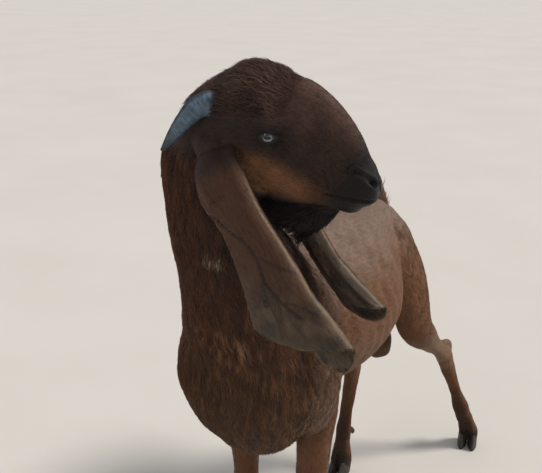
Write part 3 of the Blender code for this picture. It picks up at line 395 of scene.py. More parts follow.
class Lofts:
    """What is known of the skin's shape at each point it is lofted through."""

    def __init__(self):
        keys = ("point", "comb", "first", "second", "run", "lie", "map", "region")
        self.columns = {key: [] for key in keys}

    def note(self, region, *values):
        """Takes each column's values, in the order of the columns, for one region's points."""
        count = values[0].shape[0] * values[0].shape[1]
        for key, value in zip(self.columns, values):
            self.columns[key].append(value.reshape(count, -1))
        self.columns["region"].append(np.full(count, REGIONS.index(region)))

    def note_rings(self, region, rings, flow):
        """Rings round a run: hair lies along it, the way of the run or against it."""
        points = np.array(rings)
        centres = points.mean(1)
        ones = np.ones((*points.shape[:2], 1))
        run = unit(np.gradient(centres, axis=0))[:, None, :] * ones
        steps = np.linalg.norm(np.diff(centres, axis=0), axis=1)
        along = np.concatenate([[0.0], np.cumsum(steps)])
        spokes = points - centres[:, None, :]
        spokes = spokes - (spokes * run).sum(-1, keepdims=True) * run
        reach = np.linalg.norm(spokes, axis=-1, keepdims=True)
        spokes = unit(spokes)
        around = np.cross(run, spokes)
        angle = (np.arange(points.shape[1]) * 2 * math.pi / points.shape[1])[None, :, None]
        cosine, sine, distance = np.cos(angle) * ones, np.sin(angle) * ones, along[:, None, None] * ones
        comb = np.concatenate([reach * cosine, reach * sine, distance], -1)
        chart = np.concatenate([angle / (2 * math.pi) * ones, distance / along[-1]], -1)
        first = spokes * cosine - around * sine
        second = spokes * sine + around * cosine
        self.note(region, points, comb, first, second, run, run * flow, chart)

    def settle(self):
        self.columns = {key: np.concatenate(value) for key, value in self.columns.items()}
        self.tree = tree_of(self.columns["point"])

    def nearest(self, points):
        return nearest_in(self.tree, points)

    def comb_at(self, points, index):
        """Each point's place in a space where every limb is straight, with its hair along z."""
        c = self.columns
        off = points - c["point"][index]
        moved = [(off * c[key][index]).sum(1) for key in ("first", "second", "run")]
        return c["comb"][index] + np.stack(moved, 1)


LOFTS = Lofts()


def add_rings(bm, rings, region=None, flow=1.0):
    """Closes a run of rings of points into one body."""
    made = [[bm.verts.new(point) for point in ring] for ring in rings]
    sides = len(made[0])
    for near, far in zip(made, made[1:]):
        for k in range(sides):
            bm.faces.new((near[k], near[(k + 1) % sides], far[(k + 1) % sides], far[k]))
    bm.faces.new(made[0][::-1])
    bm.faces.new(made[-1])
    if region:
        LOFTS.note_rings(region, rings, flow)


def add_loft(bm, rows, side=(1.0, 0.0, 0.0), count=36, sides=28, sides_of_rows=None, region=None, flow=1.0):
    """A loft of ellipse halves: each row is x, y, z, half width, depth on one side, depth on the other."""
    rows = through(rows, count)
    rings = []
    for row, tangent in zip(rows, np.gradient(rows[:, :3], axis=0)):
        tangent = Vector(tangent).normalized()
        across = Vector(side if sides_of_rows is None else sides_of_rows(row))
        across = (across - tangent * across.dot(tangent)).normalized()
        outward = across.cross(tangent)
        centre = Vector(row[:3])
        rings.append([
            (centre + across * row[3] * cosine + outward * row[4 if sine > 0 else 5] * sine) * SIZE
            for cosine, sine in turns(sides)
        ])
    add_rings(bm, rings, region, flow)


def add_ball(bm, centre, radii, in_head=False):
    across, upward = (32, 20) if in_head else (24, 16)
    made = bmesh.ops.create_uvsphere(bm, u_segments=across, v_segments=upward, radius=1.0)
    for vertex in made["verts"]:
        place = [v * r + c for v, r, c in zip(vertex.co, radii, centre)]
        vertex.co = head_point(*place) if in_head else Vector(place) * SIZE


def add_trunk(bm):
    rings = []
    for y, level, half_width, above, below, narrowing in through(TRUNK_ROWS, 80):
        keel = TRUNK_KEEL * math.exp(-(((y + 0.14) / 0.13) ** 2))
        ring = []
        for cosine, sine in turns(56):
            width = half_width * (1.0 - narrowing * max(sine, 0.0) - keel * max(-sine, 0.0))
            height = sine * (above if sine > 0 else below)
            ring.append(Vector((width * cosine, y, level + height)) * SIZE)
        rings.append(ring)
    add_rings(bm, rings, "trunk")


def add_neck(bm):
    def across(row):
        return Vector((1.0, 0.0, 0.0)).lerp(HEAD_LEFT, min(max(row[6], 0.0), 1.0))

    add_loft(bm, NECK_ROWS, count=60, sides=48, sides_of_rows=across, region="neck", flow=-1.0)


def head_point(forward, left, up):
    """A point given in the head's own frame."""
    local = HEAD_FORWARD * forward + HEAD_LEFT * left + HEAD_UP * up
    return HEAD_ORIGIN + local * HEAD_SIZE


def add_head(bm):
    rings = []
    for forward, top, bottom, half_width, level, narrowing in through(HEAD_ROWS, 90):
        ring = []
        for cosine, sine in turns(64):
            up = level + sine * ((top - level) if sine > 0 else (level - bottom))
            width = half_width * (1.0 - narrowing * min(sine, 0.0) ** 2)
            ring.append(head_point(forward, width * cosine, up))
        rings.append(ring)
    add_rings(bm, rings, "head", -1.0)
    for side in (-1.0, 1.0):
        for (forward, left, up), radii in HEAD_PAIRS:
            add_ball(bm, (forward, side * left, up), radii, in_head=True)
    for centre, radii in HEAD_SINGLES:
        add_ball(bm, centre, radii, in_head=True)
    add_rings(bm, [
        [head_point(forward + half_depth * cosine, half_width * sine, up) for cosine, sine in turns(24)]
        for forward, up, half_width, half_depth in through(BEARD_ROWS, 20)
    ], "beard")


def leg_rows(name):
    """The rows of one leg, from inside the body down to the pastern."""
    side = 1.0 if name.endswith("left") else -1.0
    hoof_x, hoof_y, _ = HOOF_PLACES[name]
    if name.startswith("front"):
        knee_x, knee_y = KNEE_PLACES[name]
        rows = [(side * x, y, z, *rest) for x, y, z, *rest in FORELEG_TOP]
        elbow_x, elbow_y = rows[-1][0], rows[-1][1]
        for z, *rest in FORELEG_BELOW:
            above = np.interp(z, (KNEE_LEVEL, ELBOW_LEVEL), (0.0, 1.0))
            below = np.interp(z, (FETLOCK_LEVEL, KNEE_LEVEL), (1.0, 0.0))
            x = knee_x + (elbow_x - knee_x) * above + (hoof_x - knee_x) * below
            y = knee_y + (elbow_y - knee_y) * above
            y += (hoof_y + 0.018 - knee_y) * max(below - 0.8, 0.0)
            rows.append((x, y, z, *rest))
        return rows
    joints = {key: Vector(place) for key, place in HIND_JOINTS[name].items()}
    hip, stifle, hock, fetlock = (joints[key] for key in ("hip", "stifle", "hock", "fetlock"))
    pastern = fetlock.lerp(Vector((hoof_x, hoof_y, CORONET_LEVEL)), 0.45)
    back = Vector((0.0, 1.0, 0.0))
    return [
        (*(hip + Vector((0.0, 0.0, 0.045))), 0.030, 0.040, 0.045),
        (*(hip + back * 0.010), 0.046, 0.072, 0.072),
        (*(hip.lerp(stifle, 0.35) + back * 0.016), 0.054, 0.086, 0.084),
        (*(hip.lerp(stifle, 0.72) + back * 0.014), 0.050, 0.078, 0.072),
        (*(stifle.lerp(hock, 0.05) + back * 0.004), 0.040, 0.060, 0.050),
        (*stifle.lerp(hock, 0.34), 0.032, 0.040, 0.034),
        (*stifle.lerp(hock, 0.66), 0.0220, 0.0270, 0.0235),
        (*stifle.lerp(hock, 0.88), 0.0200, 0.0245, 0.0225),
        (*hock, 0.0225, 0.0285, 0.0255),
        (*hock.lerp(fetlock, 0.18), 0.0205, 0.0260, 0.0230),
        (*hock.lerp(fetlock, 0.42), 0.0180, 0.0215, 0.0195),
        (*hock.lerp(fetlock, 0.78), 0.0180, 0.0205, 0.0185),
        (*fetlock, 0.0235, 0.0260, 0.0225),
        (*pastern, 0.0205, 0.0205, 0.0205),
    ]


def side_of(name):
    return 1.0 if name.endswith("left") else -1.0


def toe_frame(name):
    """Where one foot stands, with its forward and outward directions on the floor."""
    x, y, turn = HOOF_PLACES[name]
    angle = math.radians(turn) * side_of(name)
    forward = Vector((math.sin(angle), -math.cos(angle), 0.0))
    across = Vector((math.cos(angle), math.sin(angle), 0.0))
    return Vector((x, y, 0.0)), forward, across


def dewclaw_places(name):
    _, forward, across = toe_frame(name)
    fetlock = Vector(leg_rows(name)[-2][:3])
    for toe in (-1.0, 1.0):
        yield fetlock - forward * 0.026 + across * 0.011 * toe + Vector((0, 0, -0.012))


def add_leg(bm, name):
    rows = leg_rows(name)
    add_loft(bm, rows, count=90, sides=32, region=name)
    place, forward, across = toe_frame(name)
    pastern = Vector(rows[-1][:3])
    for toe in (-1.0, 1.0):
        coronet = place - forward * 0.008 + across * 0.0135 * toe + Vector((0, 0, CORONET_LEVEL))
        foot = place - forward * 0.002 + across * 0.0140 * toe + Vector((0, 0, 0.014))
        start = pastern + across * 0.006 * toe + Vector((0, 0, 0.012))
        digit = (
            (*start, 0.0150, 0.0185, 0.0185),
            (*start.lerp(coronet, 0.55), 0.0140, 0.0200, 0.0200),
            (*coronet, 0.0132, 0.0235, 0.0245),
            (*foot, 0.0125, 0.0220, 0.0250),
        )
        add_loft(bm, digit, side=across, count=16, sides=20)
    for dewclaw in dewclaw_places(name):
        add_ball(bm, dewclaw, (0.0075, 0.0085, 0.0125))


def add_hock_point(bm, name):
    """The heel bone stands out behind the hock, and the tendon runs up from it to the calf."""
    joints = {key: Vector(place) for key, place in HIND_JOINTS[name].items()}
    shin = (joints["stifle"] - joints["hock"]).normalized()
    heel = joints["hock"] + Vector((0.0, 0.024, 0.022))
    calf = joints["hock"] + shin * 0.140 + Vector((0.0, 0.014, 0.004))
    add_loft(
        bm,
        (
            (*(joints["hock"] + Vector((0.0, 0.014, -0.020))), 0.0140, 0.016, 0.016),
            (*heel, 0.0125, 0.0135, 0.0135),
            (*heel.lerp(calf, 0.45), 0.0085, 0.0095, 0.0095),
            (*calf, 0.0120, 0.0150, 0.0150),
        ),
        count=18,
        sides=18,
    )


def read_smooth(table, value):
    """The value of a two-column table at a place, on a smooth line through its rows."""
    places, values = np.array(table, float).T
    slopes = np.gradient(values, places)
    value = min(max(value, places[0]), places[-1])
    k = min(int(np.searchsorted(places, value, side="right")) - 1, len(places) - 2)
    span = places[k + 1] - places[k]
    return hermite(values[k], values[k + 1], slopes[k], slopes[k + 1], span, (value - places[k]) / span)


def ear_axes(ear):
    """The ways down and forward in the ear's plane, and out of it."""
    lean = math.radians(ear["lean"])
    down = Vector((math.sin(lean), 0.0, -math.cos(lean)))
    front = Vector((math.cos(lean), 0.0, math.sin(lean)))
    return down, front, Vector((0.0, ear["outward"], 0.0))


def ear_section(ear, t):
    """Along the ear: its rear reach, the fold's radius, and how wide flat part, fold and curl are."""
    rear, fore, curl = (read_smooth(ear[key], t) for key in ("rear", "front", "curl"))
    radius = ear["fold"] * min(1.0, 0.55 + t / 0.12)
    return rear, radius, rear + fore - radius, math.pi * radius, curl


def ear_point(ear, across, along):
    """A point of the ear's middle surface: across runs from the rear edge, over the fold, to the curl."""
    down, front, outward = ear_axes(ear)
    t = along * read_smooth(ear["lengths"], across)
    rear, radius, flat, arc, curl = ear_section(ear, t)
    place = across * (flat + arc + curl)
    bulge = ear["bulge"] * min(1.0, 0.3 + t / 0.15) * math.sin(math.pi * min(place / (flat + arc), 1.0))
    if place < flat:
        reach, depth = place - rear, -bulge
    elif place < flat + arc:
        angle = (place - flat) / radius
        reach, depth = flat - rear + radius * math.sin(angle), radius * (1 - math.cos(angle)) - bulge
    else:
        back = place - flat - arc
        reach, depth = flat - rear - back, 2 * radius + 0.06 * back
    if ear["twist"] == 0.0:
        depth += 0.016 * (reach / 0.11) ** 2 * (t / 0.3)
    root = head_point(*ear["root"]) / SIZE
    off = ear["stand_off"] * (1.0 - math.exp(-t / 0.035)) + ear["swing"] * t - 0.012 * (t / 0.3) ** 2
    off -= ear["twist"] * reach
    return (root + down * (t - 0.006) + front * (reach + 0.004) + outward * (off - depth)) * SIZE


def add_ear(bm, name, ear):
    """The ear is an open sheet, folded along its front and given a thickness, on a stem at its root."""
    rows, columns = 50, 56
    points = np.array(
        [[ear_point(ear, j / columns, i / rows) for j in range(columns + 1)] for i in range(rows + 1)]
    )
    sheet = bmesh.new()
    grid = [[sheet.verts.new(point) for point in row] for row in points]
    for near, far in zip(grid, grid[1:]):
        for j in range(columns):
            sheet.faces.new((near[j], near[j + 1], far[j + 1], far[j]))
    flat = object_of("ear_sheet", sheet)
    bm.from_mesh(modified(flat, "SOLIDIFY", thickness=EAR_THICKNESS * SIZE, offset=0.0))

    run = unit(np.gradient(points, axis=0))
    across = unit(np.gradient(points, axis=1))
    across = unit(across - (across * run).sum(-1, keepdims=True) * run)
    ones = np.ones(points.shape[:2])
    share = np.arange(columns + 1)[None, :] / columns * ones
    length = np.arange(rows + 1)[:, None] / rows * ones
    comb = np.stack([share * EAR_CHART[0], 0.0 * ones, length * EAR_CHART[1]], -1)
    LOFTS.note(name, points, comb, across, np.cross(run, across), run, run, np.stack([share, length], -1))

    root = Vector(ear["root"])
    down, front, outward = ear_axes(ear)
    start = head_point(root.x, root.y * 0.55, root.z) / SIZE
    rim = head_point(*root) / SIZE
    upper, lower = (
        front * ((read_smooth(ear["front"], t) - read_smooth(ear["rear"], t)) / 2.0) for t in (0.022, 0.052)
    )
    stem = (
        (*start, 0.030, 0.026, 0.026),
        (*(rim + outward * 0.006), 0.032, 0.022, 0.022),
        (*(rim + outward * 0.030 + down * 0.022 + upper), 0.030, 0.012, 0.012),
        (*(rim + outward * 0.040 + down * 0.052 + lower), 0.024, 0.006, 0.006),
    )
    add_loft(bm, stem, side=tuple(front), count=18, sides=20)


def modified(obj, kind, **settings):
    """The object's mesh as one modifier leaves it. The object itself goes."""
    modifier = obj.modifiers.new(kind, kind)
    for key, value in settings.items():
        setattr(modifier, key, value)
    graph = bpy.context.evaluated_depsgraph_get()
    graph.update()
    data = bpy.data.meshes.new_from_object(obj.evaluated_get(graph))
    bpy.data.objects.remove(obj)
    return data


def object_of(name, bm):
    data = bpy.data.meshes.new(name)
    bm.to_mesh(data)
    bm.free()
    return link(name, data)


def vectors_of(data, what="co"):
    values = np.empty(len(data.vertices) * 3)
    data.vertices.foreach_get(what, values)
    return values.reshape(-1, 3)


def neighbours(data):
    """Every edge both ways, and how many of them start at each point."""
    edges = np.empty(len(data.edges) * 2, np.int64)
    data.edges.foreach_get("vertices", edges)
    edges = edges.reshape(-1, 2)
    ends = np.concatenate([edges, edges[:, ::-1]])
    return ends, np.maximum(np.bincount(ends[:, 0], minlength=len(data.vertices)), 1)[:, None]


def neighbour_mean(values, near):
    ends, count = near
    total = [np.bincount(ends[:, 0], values[ends[:, 1], k], len(values)) for k in range(values.shape[1])]
    return np.stack(total, 1) / count


def relax(points, near, rounds, share):
    """Evens the surface out, each point by its share, and then swells it back so that nothing thins."""
    for _ in range(rounds):
        for pull in (0.55, -0.50):
            points = points + pull * share[:, None] * (neighbour_mean(points, near) - points)
    return points


def in_head_frame(points):
    local = (points - np.array(HEAD_ORIGIN)) / HEAD_SIZE
    axes = np.array([HEAD_FORWARD, HEAD_LEFT, HEAD_UP])
    return local @ axes.T


def bump(points, centre, radii):
    """1 at the centre, falling smoothly to 0 over the radii."""
    return np.exp(-(((points - centre) / radii) ** 2).sum(1))


def bell(value, width):
    """1 where the value is 0, falling smoothly to 0 over the width."""
    return np.exp(-((value / width) ** 2))


def rise(value, start, end):
    """0 before start, 1 after end, smooth between."""
    t = np.clip((value - start) / (end - start), 0.0, 1.0)
    return t * t * (3.0 - 2.0 * t)


def beside_line(points, start, end):
    """How far each point is from a line's stretch, and how far along it, from 0 to 1."""
    start, end = np.array(start, float), np.array(end, float)
    run = end - start
    along = np.clip(((points - start) @ run) / (run @ run), 0.0, 1.0)
    return np.linalg.norm(points - start - along[:, None] * run, axis=1), along


def folded(points, axis):
    """The points with both sides brought to one along an axis."""
    points = points.copy()
    points[:, axis] = np.abs(points[:, axis])
    return points


def relief_of(points, bumps):
    """How far a surface stands out or in, from rows of height, centre and radii."""
    relief = np.zeros(len(points))
    for height, centre, radii in bumps:
        relief += height * bump(points, centre, radii)
    return relief


def head_relief(points):
    local = in_head_frame(points)
    near = bell(np.maximum(np.abs(local[:, 0] - 0.12) - 0.17, 0), 0.01) * (np.abs(local[:, 1]) < 0.085)
    return relief_of(folded(local, 1), HEAD_BUMPS) * near


def fine_head_relief(points):
    """Nostrils, lips, the mouth's line and the folds round them, on the head's finer mesh."""
    local = in_head_frame(points)
    mirrored = folded(local, 1)
    ahead, side, up = mirrored.T
    near = (ahead > -0.03) & (side < 0.085)
    relief = -0.0030 * bump(local, (0.270, 0.000, -0.022), (0.010, 0.0030, 0.016))
    in_mouth = rise(ahead, 0.186, 0.204)
    off = up - (-0.0375 - 0.12 * np.maximum(0.225 - ahead, 0.0))
    for height, level, width in ((-0.0046, 0.0, 0.0022), (0.0012, 0.006, 0.0035), (0.0010, -0.006, 0.0035)):
        relief += height * in_mouth * bell(off - level, width)
    away, along = beside_line(mirrored, (0.234, 0.027, 0.008), (0.265, 0.012, -0.012))
    relief -= (0.004 + 0.006 * along) * bell(away, 0.0024 + 0.0026 * along)
    relief += 0.0012 * bell(away - 0.008, 0.003)
    eye_ahead, _, eye_up = EYE_PLACE
    ring = np.hypot((ahead - eye_ahead) / 1.30, up - eye_up + 0.001)
    beside_eye = (side > 0.030) * bell(ahead - eye_ahead, 0.022)
    over = rise(up - eye_up, -0.002, 0.004) * beside_eye
    under = rise(eye_up - up, -0.002, 0.004) * beside_eye
    for part, reach, height, width in (
        (over, 0.0128, -0.0018, 0.0011),
        (over, 0.0172, -0.0014, 0.0011),
        (over, 0.0220, -0.0009, 0.0011),
        (over, 0.0098, 0.0012, 0.0020),
        (under, 0.0112, -0.0008, 0.0010),
        (under, 0.0150, -0.0006, 0.0010),
    ):
        relief += height * part * bell(ring - reach, width)
    for forward, level in ((0.206, 0.012), (0.196, -0.004), (0.188, -0.018)):
        ends = (forward, 0.038, level + 0.022), (forward + 0.012, 0.036, level - 0.010)
        away, _ = beside_line(mirrored, *ends)
        relief -= 0.0007 * bell(away, 0.0022)
    return relief * near


def body_relief(points):
    """The trunk's and legs' bones, hollows and creases."""
    return relief_of(folded(points / SIZE, 0), BODY_BUMPS)


# Creases and veins on the ears' outer side: width, darkness, height, and places across and along the ear. The
# first row is a crease, its darkness painted shade in the hollow; the others are veins
EAR_VEINS = (
    (0.0034, 1.0, -0.0013, (
        (0.05, 0.29), (0.18, 0.38), (0.32, 0.43), (0.37, 0.48), (0.385, 0.55), (0.37, 0.63), (0.45, 0.72),
        (0.52, 0.80),
    )),
    (0.0022, 0.8, 0.0007, ((0.38, 0.50), (0.48, 0.53), (0.58, 0.57), (0.66, 0.60))),
    (0.0020, 0.6, 0.0006, ((0.37, 0.62), (0.28, 0.70), (0.18, 0.78), (0.08, 0.84))),
    (0.0024, 0.7, 0.0006, ((0.45, 0.72), (0.55, 0.74), (0.62, 0.80))),
    (0.0022, 0.6, 0.0007, ((0.25, 0.12), (0.24, 0.24), (0.30, 0.36), (0.34, 0.44))),
    (0.0020, 0.5, 0.0005, ((0.30, 0.70), (0.34, 0.82), (0.30, 0.92))),
)
# The ear's width and length in the comb's space
EAR_CHART = (0.20, 0.33)


def ear_chart(points, index):
    """How far across and along its ear each point lies, as shares of the whole."""
    comb = LOFTS.comb_at(points, index)
    return comb[:, 0] / EAR_CHART[0], comb[:, 2] / EAR_CHART[1]


def ear_veins(points, index):
    """The darkness and the height that creases and veins give to each point of the ears; the crease's
    darkness is painted shade.
    """
    dark, height = np.zeros(len(points)), np.zeros(len(points))
    chosen = np.flatnonzero(is_in(LOFTS.columns["region"][index], *EARS))
    across, along = ear_chart(points[chosen], index[chosen])
    flat = np.stack([across * EAR_CHART[0], along * EAR_CHART[1], 0.0 * across], 1)
    for width, darkness, rising, places in EAR_VEINS:
        line = through([(a * EAR_CHART[0], b * EAR_CHART[1], 0.0) for a, b in places], 24)
        gap = np.full(len(chosen), 1.0)
        for first, second in zip(line, line[1:]):
            gap = np.minimum(gap, beside_line(flat, first, second)[0])
        near = bell(gap, width)
        dark[chosen] = np.maximum(dark[chosen], darkness * near)
        height[chosen] += rising * near
    return dark, height


def fold_share(ear):
    """Where the ear's front fold lies across it, for each share of its length."""
    length = read_smooth(ear["lengths"], 0.6)
    shares = []
    for step in range(FOLD_STEPS):
        _, _, flat, arc, curl = ear_section(ear, step / (FOLD_STEPS - 1) * length)
        shares.append((flat + 0.5 * arc) / (flat + arc + curl))
    return np.array(shares)


def body_detail(points):
    """Ribs, loose skin and muscles that only show on the coat's surface."""
    place = points / SIZE
    mirrored = folded(place, 0)
    _, y, z = place.T
    body = 1.0 - rise(z - 0.6 * y, 1.16, 1.24) * (in_head_frame(points)[:, 0] > -0.08)
    side = bump(mirrored, (0.145, 0.020, 0.585), (0.060, 0.100, 0.090))
    chest = bump(place, (0.0, -0.410, 0.560), (0.11, 0.09, 0.16))
    breast = bump(place, (0.02, -0.33, 0.425), (0.10, 0.07, 0.030))
    relief = 0.0011 * np.sin((y + 0.30 * z) * 2 * math.pi / 0.036) * side
    relief += 0.0016 * waves(place, 0.12, 41) * body
    relief += 0.0007 * waves(place, 0.045, 42) * body
    relief += 0.0012 * np.sin(z * 2 * math.pi / 0.030 + 1.5 * waves(place, 0.2, 43)) * breast
    relief -= 0.0040 * bump(place, (0.040, -0.440, 0.665), (0.011, 0.060, 0.055))
    relief += 0.0016 * waves(place * np.array([1.0, 1.0, 0.35]), 0.05, 44) * chest
    relief += 0.0050 * bump(mirrored, (0.118, -0.262, 0.520), (0.030, 0.040, 0.070))
    relief += 0.0040 * bump(mirrored, (0.092, -0.400, 0.690), (0.040, 0.070, 0.050))
    return relief


def eye_frame(side):
    """The eyeball's middle, where it looks, and the lid opening's own directions."""
    centre = head_point(EYE_PLACE[0], side * EYE_PLACE[1], EYE_PLACE[2])
    look = (HEAD_FORWARD * EYE_LOOK[0] + HEAD_LEFT * side * EYE_LOOK[1] + HEAD_UP * EYE_LOOK[2]).normalized()
    along = (HEAD_FORWARD - look * HEAD_FORWARD.dot(look)).normalized()
    upward = (HEAD_UP - look * HEAD_UP.dot(look) - along * HEAD_UP.dot(along)).normalized()
    return centre, look, along, upward


def lid_reach(angle):
    """The lid opening's edge at an angle round the eye, seen along the look."""
    sine = math.sin(angle)
    upper = EYE_UPPER if sine > 0 else EYE_LOWER
    return EYE_HALF_LENGTH * math.cos(angle), upper * abs(sine) ** 1.15 * math.copysign(1.0, sine)


def sink_eyes(points):
    """Takes the skin inside each lid opening back behind the eyeball's surface."""
    for side in (-1.0, 1.0):
        centre, look, along, upward = (np.array(v) for v in eye_frame(side))
        off = points - centre
        distance = np.linalg.norm(off, axis=1)
        x, y, out = off @ along, off @ upward, off @ look
        upper = np.where(y > 0, EYE_UPPER, EYE_LOWER)
        inside = (x / (EYE_HALF_LENGTH * 1.10)) ** 2 + (np.abs(y) / (upper * 1.12)) ** 1.7 < 1.0
        inside &= (out > 0) & (distance < 0.030)
        points[inside] = centre + off[inside] * (EYEBALL_RADIUS * 0.80 / distance[inside])[:, None]
    return points


def hair_rows(region):
    """The hair table's columns for each point."""
    return np.array([HAIR[name.split("_")[0]] for name in REGIONS])[region].T


def coat_depth(points, region):
    """How far the skin lies inside the coat's outline."""
    ahead, _, up = in_head_frame(points).T
    face = is_in(region, "head", "beard")
    crown = rise(up, 0.055, 0.085) * rise(-ahead, -0.13, -0.07)
    depth = hair_rows(region)[4] + 0.0030 * crown * face
    depth = np.where(face & (up < -0.085), 0.0040, depth)
    return depth - 0.0010 * rise(-points[:, 2] / SIZE, -0.42, -0.30) * is_in(region, *HOOF_PLACES)


def split_finer(data, chosen):
    """Cuts each edge between two chosen points in two."""
    bm = bmesh.new()
    bm.from_mesh(data)
    bm.verts.ensure_lookup_table()
    edges = [edge for edge in bm.edges if chosen[edge.verts[0].index] and chosen[edge.verts[1].index]]
    bmesh.ops.subdivide_edges(bm, edges=edges, cuts=1, use_grid_fill=True)
    bm.to_mesh(data)
    bm.free()
    data.update()


def set_points(data, points):
    data.vertices.foreach_set("co", points.ravel())
    data.update()


def push_out(data, points, distance):
    """Moves each point along its own normal."""
    set_points(data, points)
    points = points + vectors_of(data, "normal") * distance[:, None]
    set_points(data, points)
    return points


def whole_skin():
    """The whole goat, apart from horns, eyes and hooves, as one smooth closed mesh."""
    bm = bmesh.new()
    add_trunk(bm)
    add_neck(bm)
    add_head(bm)
    for name in HOOF_PLACES:
        add_leg(bm, name)
    for name in HIND_JOINTS:
        add_hock_point(bm, name)
    for name, ear in EARS.items():
        add_ear(bm, name, ear)
    add_loft(bm, TAIL_ROWS, count=30, sides=24, region="tail")
    add_loft(bm, SCROTUM_ROWS, count=30, sides=32, region="scrotum")
    LOFTS.settle()
    bmesh.ops.recalc_face_normals(bm, faces=bm.faces)
    data = modified(object_of("lofts", bm), "REMESH", mode="VOXEL", voxel_size=SKIN_VOXEL)

    points, near = vectors_of(data), neighbours(data)
    ahead, _, up = in_head_frame(points).T
    at_head = bell(np.maximum(np.abs(ahead - 0.14) - 0.13, 0), 0.03) * bell(np.maximum(-0.09 - up, 0), 0.02)
    low = 1.0 / (1.0 + np.exp((points[:, 2] - 0.36 * SIZE) / 0.02))
    points = relax(points, near, 60, np.clip(1.0 - 0.65 * at_head - 0.75 * low, 0.10, 1.0))
    points = relax(points, near, 4, np.full(len(points), 0.8))
    relief = head_relief(points) + body_relief(points) + body_detail(points)
    relief += ear_veins(points, LOFTS.nearest(points))[1]
    points = push_out(data, points, relief * SIZE)

    ahead, left, up = in_head_frame(points).T
    face = (ahead > 0.03) & (ahead < 0.30) & (np.abs(left) < 0.09)
    split_finer(data, face & (up > -0.11) & (up < 0.16))
    points, near = vectors_of(data), neighbours(data)
    ahead, left, up = in_head_frame(points).T
    face = (ahead > 0.02) & (np.abs(left) < 0.09) & (up > -0.13)
    points = relax(points, near, 3, face * 0.9)
    points = push_out(data, points, fine_head_relief(points) * SIZE)

    index = LOFTS.nearest(points)
    region = LOFTS.columns["region"][index]
    depth = coat_depth(points, region)[:, None]
    for _ in range(12):
        depth = neighbour_mean(depth, near)
    points = sink_eyes(push_out(data, points, -depth[:, 0]))
    set_points(data, points)
    return data, points, index, region, near


def lie_of_hair(points, normals, index, region, near):
    """The way the hair points at each place of the skin."""
    lie = LOFTS.columns["lie"][index]
    x, y, _ = (points / SIZE).T
    trunk = is_in(region, "trunk")
    lie[:, 2] -= 0.35 * (trunk * np.clip(np.abs(x) / 0.14, 0.0, 1.0))
    chest = (trunk * rise(-y, 0.22, 0.36))[:, None]
    lie = lie * (1.0 - chest) + np.array([0.0, 0.15, -1.0]) * chest
    for _ in range(24):
        lie = neighbour_mean(lie, near)
    lie -= (lie * normals).sum(1, keepdims=True) * normals
    return unit(lie)


def waves(points, length, seed):
    """A smooth random value from about -1 to 1, whose swells are about `length` long."""
    rng = np.random.default_rng(seed)
    total = np.zeros(len(points))
    for _ in range(7):
        direction = rng.normal(size=3)
        direction *= 2 * math.pi / length / np.linalg.norm(direction) * rng.uniform(0.6, 1.5)
        total += np.sin(points @ direction + rng.uniform(0, 2 * math.pi))
    return total / 2.6


def colour(red, green, blue):
    """A colour as the eye reads it, from 0 to 255, as the shader needs it."""
    value = np.array([red, green, blue]) / 255.0
    return np.where(value <= 0.04045, value / 12.92, ((value + 0.055) / 1.055) ** 2.4)


COAT = {
    "back": colour(128, 107, 93),
    "flank": colour(118, 82, 56),
    "chest": colour(84, 57, 37),
    "strand": colour(134, 98, 62),
    "neck": colour(78, 47, 29),
    "nape": colour(58, 37, 26),
    "crown": colour(80, 58, 50),
    "face": colour(51, 36, 31),
    "bridge": colour(92, 64, 52),
    # the muzzle's own near-black, also used as painted shade round the eyes
    "muzzle_and_eye_shade": colour(25, 20, 19),
    # painted light: a lighter patch where the side of the face is lit
    "cheek_painted_light": colour(142, 100, 68),
    # throat: the beard's own dark hair, also used as painted shade under the jaw and on the neck below it
    "throat": colour(27, 20, 18),
    "ear": colour(80, 52, 35),
    "ear_tip": colour(82, 70, 57),
    # painted shade for the ears' hollow inner side
    "ear_inside_shade": colour(44, 32, 24),
    "ear_streak": colour(96, 76, 58),
    # painted shade in the ears' crease, and the veins' darker colour
    "ear_vein_and_crease_shade": colour(36, 22, 17),
    # pale patches of the lower ear, and painted highlight along the ears' rims and fold
    "ear_pale_and_rim_highlight": colour(150, 128, 106),
    "ear_blotch": colour(52, 46, 41),
    "leg": colour(104, 68, 41),
    "leg_light": colour(142, 116, 92),
    "dark_leg": colour(42, 29, 22),
    "fleck": colour(158, 142, 124),
    "scrotum": colour(92, 66, 48),
}


# Small pale flecks of the neck and breast: place and half sizes
FLECKS = (
    ((0.030, -0.490, 0.870), (0.018, 0.024, 0.008)),
    ((0.058, -0.455, 0.703), (0.010, 0.024, 0.014)),
)
# In how many steps the ear's fold is followed along it
FOLD_STEPS = 21


